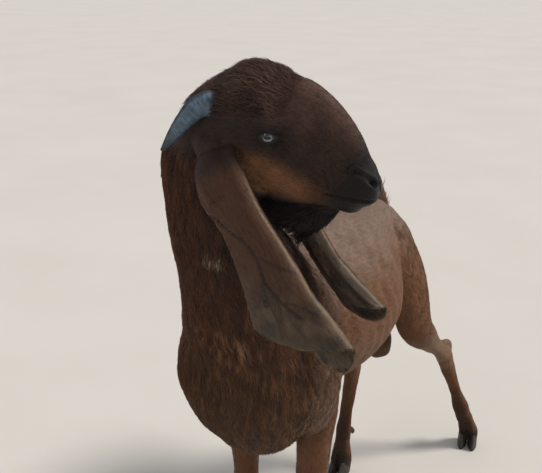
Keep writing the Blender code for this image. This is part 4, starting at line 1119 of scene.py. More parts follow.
def coat_colour(points, normals, index):
    """The coat's markings, for the skin and for every tuft that grows from it."""
    region = LOFTS.columns["region"][index]
    place = points / SIZE
    _, y, z = place.T
    local = in_head_frame(points)
    ahead, left, up = local.T
    mirrored = folded(local, 1)
    facing = -normals[:, 1]
    soft = waves(points, 0.045, 11) * 0.5 + waves(points, 0.016, 12) * 0.3
    made = np.tile(COAT["flank"], (len(points), 1))

    def on(*names):
        return is_in(region, *names).astype(float)

    def paint(name, share):
        share = np.clip(share, 0.0, 1.0)[:, None]
        made[:] = made * (1.0 - share) + COAT[name] * share

    legs, head, ears = on(*HOOF_PLACES), on("head", "beard"), on(*EARS)
    paint("back", rise(z + 0.02 * soft, 0.64, 0.76))
    paint("chest", rise(-y + 0.02 * soft, 0.16, 0.30))
    neck = rise(z - 0.9 * y + 0.03 * soft, 0.98, 1.10) * (1 - legs)
    paint("neck", neck)
    paint("nape", 0.5 * (neck * rise(y + 0.25 * (z - 0.6), -0.33, -0.27)))
    paint("leg", legs * rise(-z + 0.02 * soft, -0.52, -0.42))
    paint("dark_leg", 0.75 * legs * rise(facing + 0.2 * soft, 0.1, 0.7) * rise(-z, -0.24, -0.12))
    paint("dark_leg", 0.8 * legs * rise(-z + 0.01 * soft, -0.075, -0.05))

    paint("face", head)
    paint("crown", head * rise(up + 0.01 * soft, 0.045, 0.085))
    # Painted light: a lighter patch on each cheek, as where light falls on the side of the face
    leaning = mirrored + (0.0, 0.0, 0.25) * (mirrored[:, :1] - 0.110)
    cheek_painted_light = np.exp(-((((leaning - (0.108, 0.055, -0.034)) / (0.074, 0.060, 0.036)) ** 2).sum(1)) ** 1.6)
    paint("cheek_painted_light", head * cheek_painted_light * (1.1 + 0.12 * soft))
    top = bell(left, 0.030) * rise(up + 0.25 * ahead, 0.03, 0.08)
    paint("bridge", 0.6 * head * top * rise(ahead + 0.01 * soft, 0.10, 0.15))
    paint("muzzle_and_eye_shade", head * rise(ahead + 0.006 * soft - 0.25 * up, 0.200, 0.240))
    # Painted shade under the jaw in the throat colour; the beard's darkness is its own dark hair
    paint("throat", head * rise(-up + 0.008 * soft, 0.066, 0.084))
    paint("throat", on("beard"))
    # Painted shade on the neck under the jaw, in the throat colour
    paint("throat", on("neck", "trunk") * bump(local, (0.09, 0.0, -0.16), (0.08, 0.08, 0.08)) * 1.3)
    # Darker fur and painted shade in the hollow round each eye
    paint("muzzle_and_eye_shade", head * bump(mirrored, (0.106, 0.058, 0.045), (0.026, 0.022, 0.019)) * 0.85)

    paint("ear", ears)
    paint("ear_tip", ears * rise(-z + 0.02 * soft, -0.93, -0.76))
    for name, ear in EARS.items():
        # Painted shade: the inner side of each ear, which faces the head, darkened
        paint("ear_inside_shade", 0.8 * (on(name) * rise(facing * ear["outward"] + 0.15 * soft, 0.0, 0.5)))
    across, along = ear_chart(points, index)
    blotch = rise(waves(points, 0.050, 51) + 0.35 * waves(points, 0.014, 52), 0.0, 1.2)
    paint("ear_blotch", 0.60 * ears * blotch * rise(along, 0.40, 0.75))
    # Pale patches of the lower ear, in the ear's own colour
    paint("ear_pale_and_rim_highlight", 0.14 * ears * rise(-waves(points, 0.040, 53), 0.0, 1.2) * rise(along, 0.5, 0.8))
    paint("face", 0.9 * ears * rise(-along + 0.02 * soft, -0.13, -0.06))
    # Painted shade in the ear's crease, and the darker lines of its veins
    paint("ear_vein_and_crease_shade", 0.85 * ears * ear_veins(points, index)[0])
    for name, ear in EARS.items():
        fold = np.interp(along, np.linspace(0.0, 1.0, FOLD_STEPS), fold_share(ear))
        # Painted highlight: light lines along the fold, the rear edge, the curl's edge and the lower end of
        # each ear
        edge = bell(across - fold, 0.018) + bell(across, 0.018)
        edge += 0.7 * bell(across - 1.0, 0.018) + 0.6 * bell(along - 1.0, 0.012)
        paint("ear_pale_and_rim_highlight", 0.75 * on(name) * edge * rise(along, 0.10, 0.22))
        streaks = rise(waves(np.stack([across * 0.20, along * 0.05, 0.0 * along], 1), 0.010, 54), -0.2, 0.9)
        paint("ear_streak", 0.75 * (on(name) * rise(facing * ear["outward"], 0.2, 0.6)) * streaks)
    paint("scrotum", on("scrotum"))
    for spot, size in FLECKS:
        near = np.exp(-((((points - np.array(spot) * SIZE) / (np.array(size) * SIZE)) ** 2).sum(1)) ** 2)
        paint("fleck", 0.8 * near * rise(waves(points, 0.006, 17), -0.3, 0.5))
    locks = waves(points * (1.0, 1.0, 0.16), 0.011, 61) + 0.6 * waves(points * (1.0, 1.0, 0.2), 0.024, 62)
    bright = bump(folded(place, 0), (0.105, -0.320, 0.500), (0.035, 0.070, 0.110)) * 0.9
    bright = bright + bump(place, (0.045, -0.455, 0.690), (0.055, 0.060, 0.050)) * 0.7
    bright = bright * on("trunk", "neck", "front_left", "front_right")
    paint("strand", bright * rise(locks, -0.3, 1.2))
    hock = on("hind_left", "hind_right") * rise(y, 0.24, 0.30) * rise(z, 0.24, 0.30)
    paint("leg_light", 0.55 * hock * rise(-z, -0.50, -0.38))
    paint("face", on("neck") * bump(mirrored, (0.020, 0.055, -0.015), (0.040, 0.045, 0.036)))
    front = on("trunk", "neck") * rise(-y, 0.16, 0.30)
    wave = waves(local * (0.25, 1.0, 1.0), 0.015, 63) * head * rise(up, 0.04, 0.08)
    wave *= 1.0 - 0.7 * rise(ahead, 0.09, 0.13)
    mottle = on("trunk", "hind_left", "hind_right") * (1.0 - front) * waves(points, 0.008, 64)
    face_mottle = head * (waves(points, 0.030, 65) * 0.06 + waves(points, 0.007, 66) * 0.06)
    change = 0.10 * soft + 0.25 * front * locks + 0.30 * wave + 0.09 * mottle + face_mottle
    return made * np.clip(1.0 + change, 0.45, 1.7)[:, None]


def hair_of(points, region):
    """Length, lift from the skin, sideways scatter and number per square metre of the tufts."""
    _, y, z = (points / SIZE).T
    ahead, _, up = in_head_frame(points).T
    length, lift, scatter, density, _ = hair_rows(region)
    trunk, head = is_in(region, "trunk"), is_in(region, "head")
    chest = trunk * rise(-y, 0.20, 0.34)
    belly = trunk * rise(-z, -0.50, -0.43)
    low = is_in(region, *HOOF_PLACES) * rise(-z, -0.48, -0.34)
    crown = head * rise(up + 0.35 * np.maximum(0.05 - ahead, 0.0), 0.050, 0.085)
    crown *= rise(-ahead, -0.15, -0.08)
    throat = head * rise(-up, 0.078, 0.095)
    nose = head * rise(ahead - 0.5 * up, 0.235, 0.262)
    length = length + 0.012 * chest + 0.006 * belly - 0.004 * low
    length = length + 0.019 * crown + 0.020 * throat - 0.004 * nose
    lift = lift + 0.05 * belly + 0.03 * chest + 0.22 * crown
    scatter = scatter + 0.16 * crown
    density = density - 10000.0 * chest - 30000.0 * belly + 70000.0 * low
    density = (density - 130000.0 * crown - 150000.0 * throat) * (1.0 - 0.9 * nose)
    for side in (-1.0, 1.0):
        centre, look, along, upward = (np.array(v) for v in eye_frame(side))
        off = points - centre
        reach = np.hypot(off @ along / EYE_HALF_LENGTH, off @ upward / (1.25 * EYE_UPPER))
        near_eye = (off @ look > 0.0) & (np.linalg.norm(off, axis=1) < 0.035)
        density = density * np.where(near_eye, rise(reach, 1.18, 1.34), 1.0)
    return length, lift, scatter, density * rise(z, 0.036, 0.046)


def sowed(data, points, values, rng):
    """Random places over the mesh, as many per square metre as the values say."""
    data.calc_loop_triangles()
    triangles = np.empty(len(data.loop_triangles) * 3, np.int64)
    data.loop_triangles.foreach_get("vertices", triangles)
    triangles = triangles.reshape(-1, 3)
    corners = points[triangles]
    areas = np.linalg.norm(np.cross(corners[:, 1] - corners[:, 0], corners[:, 2] - corners[:, 0]), axis=1) / 2
    expected = areas * values[triangles].mean(1)
    total = int(expected.sum())
    chosen = np.searchsorted(np.cumsum(expected) / expected.sum(), rng.random(total))
    chosen = np.minimum(chosen, len(triangles) - 1)
    shares = rng.random((total, 2))
    over = shares.sum(1) > 1.0
    shares[over] = 1.0 - shares[over]
    shares = np.concatenate([1.0 - shares.sum(1, keepdims=True), shares], 1)
    return triangles[chosen], shares


def mesh_from(name, points, corners, sizes):
    """A mesh from arrays: its points, the faces' corners in one run, and how many corners each has."""
    data = bpy.data.meshes.new(name)
    data.vertices.add(len(points))
    data.vertices.foreach_set("co", points.astype(np.float32).ravel())
    data.loops.add(len(corners))
    data.loops.foreach_set("vertex_index", corners.astype(np.int32))
    data.polygons.add(len(sizes))
    starts = np.concatenate([[0], np.cumsum(sizes)[:-1]])
    data.polygons.foreach_set("loop_start", starts.astype(np.int32))
    data.polygons.foreach_set("use_smooth", np.ones(len(sizes), bool))
    data.update(calc_edges=True)
    return data


# One tuft is a thin bent spike of three sides. Each face is named by the tuft's own points.
LONG_FACES = ((2, 1, 0), (0, 1, 4, 3), (1, 2, 5, 4), (2, 0, 3, 5), (3, 4, 6), (4, 5, 6), (5, 3, 6))
SHORT_FACES = ((2, 1, 0), (0, 1, 3), (1, 2, 3), (2, 0, 3))
LONG_MAP = ((0.1, 0.0), (0.9, 0.0), (0.5, 0.1), (0.2, 0.5), (0.8, 0.5), (0.5, 0.6), (0.5, 1.0))
SHORT_MAP = ((0.1, 0.0), (0.9, 0.0), (0.5, 0.1), (0.5, 1.0))


def skin_heights(tree, points, normals, places, normal):
    """How far the skin stands over each place, measured the way its root faces."""
    near = nearest_in(tree, places)
    facing = (normals[near] * normal).sum(1)
    height = ((points[near] - places) * normals[near]).sum(1) / np.maximum(facing, 0.4)
    return np.where(facing > 0.1, height, 0.0)


def tufts(name, root, normal, lie, length, width, lift, bend, heights, shade, chart, is_long):
    """Many tufts as one mesh, each with its own colour and its own patch of the map."""
    count = len(root)
    along = unit(lie * np.cos(lift)[:, None] + normal * np.sin(lift)[:, None])
    side = unit(np.cross(normal, along))
    out = np.cross(along, side)
    start = root - normal * 0.0006
    half = (width / 2.0)[:, None]
    ring = [start - side * half, start + side * half, start + out * half * 0.9]
    shades = [shade] * 3
    over_middle, over_tip = normal * heights[:, :1], normal * heights[:, 1:]
    if is_long:
        middle = start + along * (length * 0.5)[:, None] + over_middle
        later = unit(
            lie * np.cos(lift * 0.25)[:, None] + normal * np.sin(lift * 0.25)[:, None] + side * bend[:, None]
        )
        ring += [middle - side * half * 0.8, middle + side * half * 0.8, middle + out * half * 0.7]
        ring.append(middle + later * (length * 0.5)[:, None] + over_tip - over_middle)
        shades += [shade * 1.26] * 3
    else:
        ring.append(start + along * length[:, None] + over_tip)
    shades.append(shade * 1.42)
    faces, patch = (LONG_FACES, LONG_MAP) if is_long else (SHORT_FACES, SHORT_MAP)
    size = len(ring)
    points = np.stack(ring, 1).reshape(-1, 3)
    pattern = np.array([corner for face in faces for corner in face])
    corners = (np.arange(count)[:, None] * size + pattern[None, :]).ravel()
    data = mesh_from(name, points, corners, np.tile([len(face) for face in faces], count))
    values = np.ones((count, size, 4))
    values[:, :, :3] = np.stack(shades, 1)
    set_colours(data, values)
    layer = data.uv_layers.new(name="OFBake")
    places = chart[:, None, :] + (np.array(patch)[pattern] * MAP_PATCH)[None, :, :]
    layer.data.foreach_set("uv", places.astype(np.float32).ravel())
    return data


def map_places(region, index):
    """Where each root lies on the coat's map: every region has its own cell."""
    chart = LOFTS.columns["map"][index]
    cell = np.stack([region % MAP_CELLS, region // MAP_CELLS], 1) / MAP_CELLS
    return cell + (0.01 + chart * 0.93) / MAP_CELLS


# A tuft longer than this bends at its middle
LONG_TUFT = 0.0165
MOST_TUFT_TRIANGLES = 190000
COAT_PIECES = {
    "trunk": ("trunk",),
    "neck": ("neck",),
    "head": ("head", "beard"),
    "ears": ("ear_right", "ear_left"),
    "forelegs": ("front_left", "front_right"),
    "hindlegs": ("hind_left", "hind_right"),
    "rear": ("tail", "scrotum"),
}


def grow_coat(data, points, normals, lie, region, shader):
    """Tufts over the whole skin, in pieces by body part."""
    rng = np.random.default_rng(5)
    length, lift, scatter, density = hair_of(points, region)
    triangles, shares = sowed(data, points, density, rng)

    def spread(values):
        weights = shares if values.ndim == 1 else shares[:, :, None]
        return (values[triangles] * weights).sum(1)

    root, normal, flow = spread(points), unit(spread(normals)), spread(lie)
    length, lift, scatter = spread(length), spread(lift), spread(scatter)
    index = LOFTS.nearest(root)
    where = LOFTS.columns["region"][index]
    count = len(root)
    swirl = waves(root, 0.05, 21) * (0.14 + 0.9 * np.maximum(scatter - 0.16, 0.0))
    turn = swirl + rng.normal(0.0, 1.0, count) * scatter
    flow = unit(flow - (flow * normal).sum(1, keepdims=True) * normal)
    aside = np.cross(normal, flow)
    flow = flow * np.cos(turn)[:, None] + aside * np.sin(turn)[:, None]
    length = length * rng.uniform(0.65, 1.25, count)
    width = (0.00034 + 0.032 * length) * rng.uniform(0.8, 1.2, count)
    lift = np.maximum(lift * rng.uniform(0.5, 1.5, count), 0.04)
    bend = rng.normal(0.0, 0.35, count)
    tree = tree_of(points)
    heights = []
    for share in (0.5, 1.0):
        reach = length * share
        height = skin_heights(tree, points, normals, root + flow * reach[:, None], normal)
        heights.append(np.clip(height, -0.35 * reach, 0.45 * reach))
    heights = np.stack(heights, 1)
    shade = coat_colour(root, normal, index)
    shade = shade * np.exp(rng.normal(0.0, 0.15, (count, 1)))
    shade = shade * (1.0 + rng.normal(0.0, 0.04, (count, 3)))
    columns = (root, normal, flow, length, width, lift, bend, heights, shade, map_places(where, index))
    made = []
    for label, names in COAT_PIECES.items():
        inside = is_in(where, *names)
        for is_long, word, cost in ((True, "long", 10), (False, "short", 4)):
            chosen = np.flatnonzero(inside & ((length > LONG_TUFT) == is_long))
            pieces = max(1, math.ceil(len(chosen) * cost / MOST_TUFT_TRIANGLES))
            for k, part in enumerate(np.array_split(chosen, pieces)):
                if len(part) == 0:
                    continue
                name = f"coat_{label}_{word}_{k + 1}"
                tuft_data = tufts(name, *(column[part] for column in columns), is_long)
                tuft_data.materials.append(shader)
                made.append(link(name, tuft_data))
    return made


def link(name, data):
    obj = bpy.data.objects.new(name, data)
    bpy.context.scene.collection.objects.link(obj)
    return obj


class Shader:
    """A material's nodes, made one by one."""

    def __init__(self, name):
        self.material = bpy.data.materials.new(name)
        self.material.use_nodes = True
        self.tree = self.material.node_tree

    def feed(self, node, inputs):
        """Sets a node's inputs, given by name or, as i0, i1 and so on, by number."""
        for key, value in inputs.items():
            socket = node.inputs[int(key[1:]) if key[1:].isdigit() else key.replace("_", " ")]
            if isinstance(value, bpy.types.Node):
                value = value.outputs[0]
            if isinstance(value, bpy.types.NodeSocket):
                self.tree.links.new(value, socket)
            else:
                socket.default_value = (*value, 1.0) if socket.type == "RGBA" else value

    def add(self, kind, settings=None, **inputs):
        node = self.tree.nodes.new("ShaderNode" + kind)
        for key, value in (settings or {}).items():
            setattr(node, key, value)
        self.feed(node, inputs)
        return node

    def surface(self, **inputs):
        """Sets the surface's inputs, and hands the finished material over."""
        self.feed(self.tree.nodes["Principled BSDF"], inputs)
        return self.material

    def attribute(self, name, output="Color"):
        return self.add("Attribute", {"attribute_name": name}).outputs[output]

    def scaled(self, vector, *scale):
        return self.add("VectorMath", {"operation": "MULTIPLY"}, i0=vector, i1=scale).outputs[0]

    def noise(self, vector, scale=1.0, detail=3.0, rough=0.55):
        return self.add("TexNoise", i0=vector, Scale=scale, Detail=detail, Roughness=rough).outputs["Fac"]

    def spread(self, value, low, high, to_low=0.0, to_high=1.0):
        node = self.add("MapRange", Value=value, From_Min=low, From_Max=high, To_Min=to_low, To_Max=to_high)
        return node.outputs["Result"]

    def maths(self, operation, first, second=0.0):
        return self.add("Math", {"operation": operation}, i0=first, i1=second).outputs[0]

    def times(self, value, factor):
        return self.maths("MULTIPLY", value, factor)

    def mixed(self, share, first, second, blend="MIX"):
        settings = {"data_type": "RGBA", "blend_type": blend}
        return self.add("Mix", settings, Factor=share, i6=first, i7=second).outputs[2]

    def bump(self, height, strength, distance):
        return self.add("Bump", Strength=strength, Distance=distance, Height=height).outputs["Normal"]

    def place(self):
        return self.add("TexCoord").outputs["Object"]


def skin_shader():
    """Short flat hair as bump and streaks along its lie, over the coat's own markings."""
    made = Shader("coat_skin")
    comb = made.attribute("comb", "Vector")
    fine = made.noise(made.scaled(comb, 1300.0, 1300.0, 75.0), detail=2.0)
    broad = made.noise(made.scaled(comb, 420.0, 420.0, 34.0))
    streak = made.maths("ADD", made.times(fine, 0.6), made.times(broad, 0.4))
    brighter = made.spread(streak, 0.3, 0.7, 0.50, 1.16)
    bare = made.attribute("bare", "Fac")
    pores = made.add("TexVoronoi", i0=made.place(), Scale=700.0)
    leather = made.spread(pores.outputs["Distance"], 0.0, 0.8, 0.0, 0.5)
    height = made.add("Mix", {"data_type": "FLOAT"}, i0=bare, i2=streak, i3=leather)
    return made.surface(
        Base_Color=made.mixed(1.0, made.attribute("coat"), brighter, "MULTIPLY"),
        Roughness=made.spread(bare, 0.0, 1.0, 0.62, 0.38),
        Normal=made.bump(height, 0.55, 0.0011),
        Specular_IOR_Level=0.26,
        Sheen_Weight=0.04,
        Sheen_Roughness=0.45,
    )


def coat_shader():
    made = Shader("coat_hair")
    speck = made.spread(made.noise(made.place(), 900.0, 2.0), 0.3, 0.7, 0.82, 1.20)
    return made.surface(
        Base_Color=made.mixed(1.0, made.attribute("coat"), speck, "MULTIPLY"),
        Roughness=made.spread(speck, 0.8, 1.2, 0.60, 0.46),
        Specular_IOR_Level=0.28,
        Sheen_Weight=0.05,
        Sheen_Roughness=0.4,
    )


def horn_shader(name, dark, light, tip, edge):
    """Grey horn: growth lines across it, fine fibres along it, and a darker end."""
    made = Shader(name)
    grow = made.attribute("grow", "Vector")
    split = made.add("SeparateXYZ", i0=grow)
    fibres = made.noise(made.scaled(grow, 60.0, 60.0, 3.0))
    rings = made.noise(made.scaled(grow, 1.5, 1.5, 46.0), detail=2.0)
    cloud = made.noise(made.place(), 70.0)
    shade = made.maths("ADD", made.times(fibres, 0.4), made.times(rings, 0.35))
    shade = made.maths("ADD", shade, made.times(cloud, 0.25))
    body = made.mixed(made.spread(shade, 0.38, 0.62), dark, light)
    body = made.mixed(made.spread(split.outputs["Z"], 0.72, 1.0, 0.0, 0.85), body, tip)
    return made.surface(
        Base_Color=made.mixed(made.spread(split.outputs["X"], -0.98, -0.70, edge, 0.0), body, tip),
        Roughness=made.spread(shade, 0.35, 0.65, 0.38, 0.62),
        Normal=made.bump(shade, 0.5, 0.0009),
    )


def eye_shader():
    """A pale iris with radial fibres, its upper part darkened as painted shade of the upper lid, a level slot
    of a pupil, and a dark ring and white round them.
    """
    made = Shader("eye_glass")
    parts = made.add("SeparateXYZ", i0=made.attribute("gaze", "Vector"))
    level, upright = parts.outputs["X"], parts.outputs["Y"]
    flat = made.add("CombineXYZ", i0=level, i1=upright)
    radius = made.add("VectorMath", {"operation": "LENGTH"}, i0=flat).outputs["Value"]
    angle = made.maths("ARCTAN2", upright, level)
    spokes = made.add("CombineXYZ", i0=made.times(angle, 9.0), i1=made.times(radius, 260.0))
    fibres = made.noise(spokes, 1.0, 4.0, 0.65)
    lid_shade_slant = made.maths("SUBTRACT", upright, made.times(level, 0.45))
    iris = made.mixed(made.spread(fibres, 0.35, 0.65), colour(70, 80, 84), colour(166, 174, 172))
    iris = made.mixed(made.spread(radius, 0.0052, 0.0078), iris, colour(24, 25, 28))
    # Painted shade: the iris darkens towards its upper, rear side, as under the upper lid
    iris = made.mixed(made.spread(lid_shade_slant, 0.0004, 0.0038, 0.0, 0.9), iris, colour(26, 30, 34))
    white = made.mixed(made.noise(made.place(), 300.0), colour(34, 25, 23), colour(70, 54, 48))
    ball = made.mixed(made.spread(radius, 0.0086, 0.0094), iris, white)
    wide = made.maths("ABSOLUTE", made.maths("DIVIDE", level, 0.0050))
    tall = made.maths("ABSOLUTE", made.maths("DIVIDE", upright, 0.0023))
    slot = made.maths("ADD", made.maths("POWER", wide, 3.0), made.maths("POWER", tall, 2.4))
    return made.surface(
        Base_Color=made.mixed(made.spread(slot, 0.75, 1.15, 1.0, 0.0), ball, colour(8, 9, 12)),
        Normal=made.bump(fibres, 0.05, 0.0003),
        Roughness=0.30,
        Specular_IOR_Level=0.08,
        Coat_Weight=0.75,
        Coat_Roughness=0.02,
    )


def lid_shader():
    made = Shader("lid_skin")
    cloud = made.noise(made.place(), 500.0, 4.0)
    return made.surface(
        Base_Color=made.mixed(cloud, colour(14, 11, 11), colour(34, 26, 24)),
        Roughness=made.spread(cloud, 0.3, 0.7, 0.45, 0.65),
        Normal=made.bump(cloud, 0.5, 0.0006),
    )


def floor_shader():
    made = Shader("pale_floor")
    cloud = made.noise(made.place(), 1.3, 5.0)
    grain = made.noise(made.place(), 160.0)
    return made.surface(
        Base_Color=made.mixed(made.spread(cloud, 0.3, 0.7), colour(206, 202, 196), colour(211, 207, 202)),
        Roughness=made.spread(grain, 0.3, 0.7, 0.72, 0.86),
        Normal=made.bump(grain, 0.08, 0.001),
    )


def set_vectors(data, name, values):
    layer = data.attributes.new(name, "FLOAT_VECTOR", "POINT")
    layer.data.foreach_set("vector", np.asarray(values, np.float32).ravel())


def set_colours(data, values):
    layer = data.color_attributes.new("coat", "FLOAT_COLOR", "POINT")
    layer.data.foreach_set("color", values.astype(np.float32).ravel())


def smooth(data):
    data.polygons.foreach_set("use_smooth", np.ones(len(data.polygons), bool))
    data.update()


def dressed(obj, shader, **vectors):
    """Gives a piece the vectors its material reads, a smooth surface and the material."""
    for name, values in vectors.items():
        set_vectors(obj.data, name, values)
    smooth(obj.data)
    obj.data.materials.append(shader)
    return obj


def grid_mesh(name, rings, closed_ends=True):
    """A mesh through rings of points, smooth, with its ends closed."""
    count, sides = len(rings), len(rings[0])
    i, j = np.meshgrid(np.arange(count - 1), np.arange(sides), indexing="ij")
    after = (j + 1) % sides
    quads = np.stack([i * sides + j, i * sides + after, (i + 1) * sides + after, (i + 1) * sides + j], -1)
    corners, sizes = [quads.ravel()], [np.full(i.size, 4)]
    if closed_ends:
        corners += [np.arange(sides)[::-1], np.arange(sides) + (count - 1) * sides]
        sizes += [[sides], [sides]]
    points = np.asarray(rings).reshape(-1, 3)
    data = mesh_from(name, points, np.concatenate(corners), np.concatenate(sizes))
    bm = bmesh.new()
    bm.from_mesh(data)
    bmesh.ops.recalc_face_normals(bm, faces=bm.faces)
    bm.to_mesh(data)
    bm.free()
    smooth(data)
    return data


def horn_piece(side, word, shader):
    """One horn, swept back from the crown, with its growth rings."""
    rows = through(HORN_ROWS, 90)
    rings, grow = [], []
    for k, (row, run) in enumerate(zip(rows, np.gradient(rows[:, :3], axis=0))):
        run = Vector(run).normalized()
        across = Vector((0.5, 0.0, -0.87))
        across = (across - run * across.dot(run)).normalized()
        outward = run.cross(across)
        t = k / (len(rows) - 1)
        ridge = 1.0 - 0.035 * (0.5 + 0.5 * math.sin(t * 58.0 + 2.0 * math.sin(t * 9.0))) * (1.0 - 0.6 * t)
        ring = []
        for cosine, sine in turns(40):
            point = Vector(row[:3]) + across * row[3] * ridge * cosine
            point += outward * row[4] * ridge * sine
            ring.append(head_point(point.x, side * point.y, point.z))
            grow.append((cosine, sine, t))
        rings.append(ring)
    return dressed(link("horn_sheath_" + word, grid_mesh("horn_" + word, rings)), shader, grow=grow)


def claw_piece(name, label, toe, shader):
    """One claw: smooth walls that lean in to the toe, on a flat sole."""
    place, forward, across = toe_frame(name)
    rows = through(CLAW_RINGS, 22)
    rings, grow = [], []
    for k, (level, length, width, back) in enumerate(rows):
        t = k / (len(rows) - 1)
        groove = 1.0 - 0.018 * (0.5 + 0.5 * math.sin(t * 40.0))
        tuck = 1.0 - 0.05 * max(0.0, 1.0 - level / 0.003)
        ring = []
        for reach, spread in turns(48):
            run = reach * length / 2.0 * groove * tuck - back
            narrow = 1.0 - 0.42 * max(reach, 0.0) ** 1.6
            aside = spread * width / 2.0 * narrow * groove * tuck
            height = max(level, 0.0) * (1.0 + CORONET_SLOPE * reach)
            point = place + forward * run + across * (toe * CLAW_MIDDLE + aside + 0.0018 * reach * toe)
            ring.append((point + Vector((0.0, 0.0, height))) * SIZE)
            grow.append((reach, spread, 1.0 - t))
        rings.append(ring)
    claw = link(f"claw_{name}_{label}", grid_mesh(f"hoof_{name}_{label}", rings))
    return dressed(claw, shader, grow=grow)


def dewclaw_piece(name, shader):
    """The two small horn nubs behind a fetlock."""
    bm = bmesh.new()
    _, forward, _ = toe_frame(name)
    for place in dewclaw_places(name):
        made = bmesh.ops.create_uvsphere(bm, u_segments=20, v_segments=14, radius=1.0)
        tip = Vector((0, 0, -0.006)) - forward * 0.0035
        for vertex in made["verts"]:
            low = max(-vertex.co.z, 0.0)
            vertex.co = Vector((v * r for v, r in zip(vertex.co, (0.0058, 0.0062, 0.0085))))
            vertex.co.x *= 1.0 - 0.45 * low
            vertex.co.y *= 1.0 - 0.45 * low
            vertex.co = (vertex.co + place + tip) * SIZE
    nubs = object_of("dewclaws_" + name, bm)
    points = vectors_of(nubs.data)
    return dressed(nubs, shader, grow=(points - points.mean(0)) * np.array([60.0, 60.0, 20.0]))


def eye_piece(side, word, shader):
    """An eyeball with a low cornea, and where each point lies from the middle of its gaze."""
    centre, look, _, _ = eye_frame(side)
    level = Vector((0.0, 0.0, 1.0)).cross(look).normalized()
    upright = look.cross(level)
    bm = bmesh.new()
    made = bmesh.ops.create_icosphere(bm, subdivisions=5, radius=EYEBALL_RADIUS - 0.0001)
    gaze = []
    for vertex in made["verts"]:
        away = vertex.co.copy()
        reach = math.hypot(away.dot(level), away.dot(upright))
        gaze.append((-side * away.dot(level), away.dot(upright), away.dot(look)))
        if away.dot(look) > 0.0:
            vertex.co += look * 0.0007 * math.exp(-((reach / 0.0065) ** 4))
        vertex.co += centre
    return dressed(object_of("eyeball_" + word, bm), shader, gaze=gaze)


# The lids' section: share of the opening's size, and distance from the eyeball, or None where it
# follows the skin
LID_PROFILE = (
    (0.92, 0.0001), (0.97, 0.0008), (1.02, 0.0016), (1.09, 0.0020),
    (1.16, 0.0018), (1.30, None), (1.46, None),
)
LID_SIDES = 96


def ball_depth(x, y):
    return math.sqrt(max(EYEBALL_RADIUS**2 - x * x - y * y, 1e-8))


def lid_piece(side, word, surface, shader):
    """Upper and lower lid as one rim: it rests on the eyeball, turns over, and ends under the skin."""
    centre, look, along, upward = eye_frame(side)
    rings = []
    for spread, rise_off in LID_PROFILE:
        ring = []
        for k in range(LID_SIDES):
            x, y = lid_reach(2 * math.pi * k / LID_SIDES)
            heavy = 1.0 + (0.16 if y > 0 else 0.0) * (spread - 0.92)
            x, y = x * spread, y * spread * heavy
            depth = ball_depth(x, y)
            if rise_off is None:
                over = centre + along * x + upward * y
                hit = surface.ray_cast(over + look * 0.030, -look, 0.045)
                found = hit[0] if hit[0] is not None else over + look * depth
                ring.append(found - look * (0.0002 if spread < 1.4 else 0.0016))
            else:
                ray = (along * x + upward * y + look * depth).normalized()
                reach = EYEBALL_RADIUS + rise_off + (0.0006 if y > 0 else 0.0) * min(spread - 0.92, 0.2) / 0.2
                ring.append(centre + ray * reach)
        rings.append(ring)
    rim = link("lids_" + word, grid_mesh("lids_" + word, rings, closed_ends=False))
    return dressed(link("lids_" + word, modified(rim, "SOLIDIFY", thickness=0.0006, offset=-1.0)), shader)


def lash_piece(side, word, shader):
    """Short dark lashes along the upper lid."""
    centre, look, along, upward = eye_frame(side)
    rng = np.random.default_rng(31)
    count = 34
    roots, flows = [], []
    for k in range(count):
        x, y = lid_reach(math.radians(22 + 136 * k / (count - 1)))
        ray = (along * x * 1.06 + upward * y * 1.10 + look * ball_depth(x, y)).normalized()
        roots.append(centre + ray * (EYEBALL_RADIUS + 0.0022))
        flows.append((look * 0.8 + upward * 0.25 + along * (0.5 * x / EYE_HALF_LENGTH)).normalized())
    roots, flows, normals = (np.array(v, float) for v in (roots, flows, [upward] * count))
    data = tufts(
        "lashes_" + word, roots, normals, flows, rng.uniform(0.005, 0.008, count), np.full(count, 0.00045),
        rng.uniform(0.1, 0.4, count), rng.normal(0.0, 0.2, count), np.zeros((count, 2)),
        np.tile(colour(24, 18, 17), (count, 1)), np.full((count, 2), 0.97), True,
    )
    data.materials.append(shader)
    return link("lashes_" + word, data)


def place_camera():
    """The photo's view: 542 pixels wide, 772 pixels of focal length, looking down by 19.6 degrees."""
    focal_pixels = 772.0
    tilt = math.radians(19.6)
    turn = math.radians(30.7)
    right = Vector((math.cos(turn), math.sin(turn), 0.0))
    ahead = Vector((-math.sin(turn), math.cos(turn), 0.0))
    up = ahead * math.sin(tilt) + Vector((0.0, 0.0, math.cos(tilt)))
    view = ahead * math.cos(tilt) - Vector((0.0, 0.0, math.sin(tilt)))
    lens = bpy.data.cameras.new("camera")
    lens.sensor_fit = "HORIZONTAL"
    lens.sensor_width = 36.0
    lens.lens = lens.sensor_width * focal_pixels / PHOTO_WIDTH
    pose = Matrix((right, up, -view)).transposed().to_4x4()
    pose.translation = Vector((0.702, -1.429, 1.32)) * SIZE + SHIFT
    camera = link("camera", lens)
    camera.matrix_world = pose
    bpy.context.scene.camera = camera


def add_light(name, kind, stand, turn, power, tint, **settings):
    data = bpy.data.lights.new(name, kind)
    data.energy = power
    data.color = tint
    for key, value in settings.items():
        setattr(data, key, value)
    obj = link(name, data)
    obj.location = stand
    obj.rotation_euler = turn.to_euler()


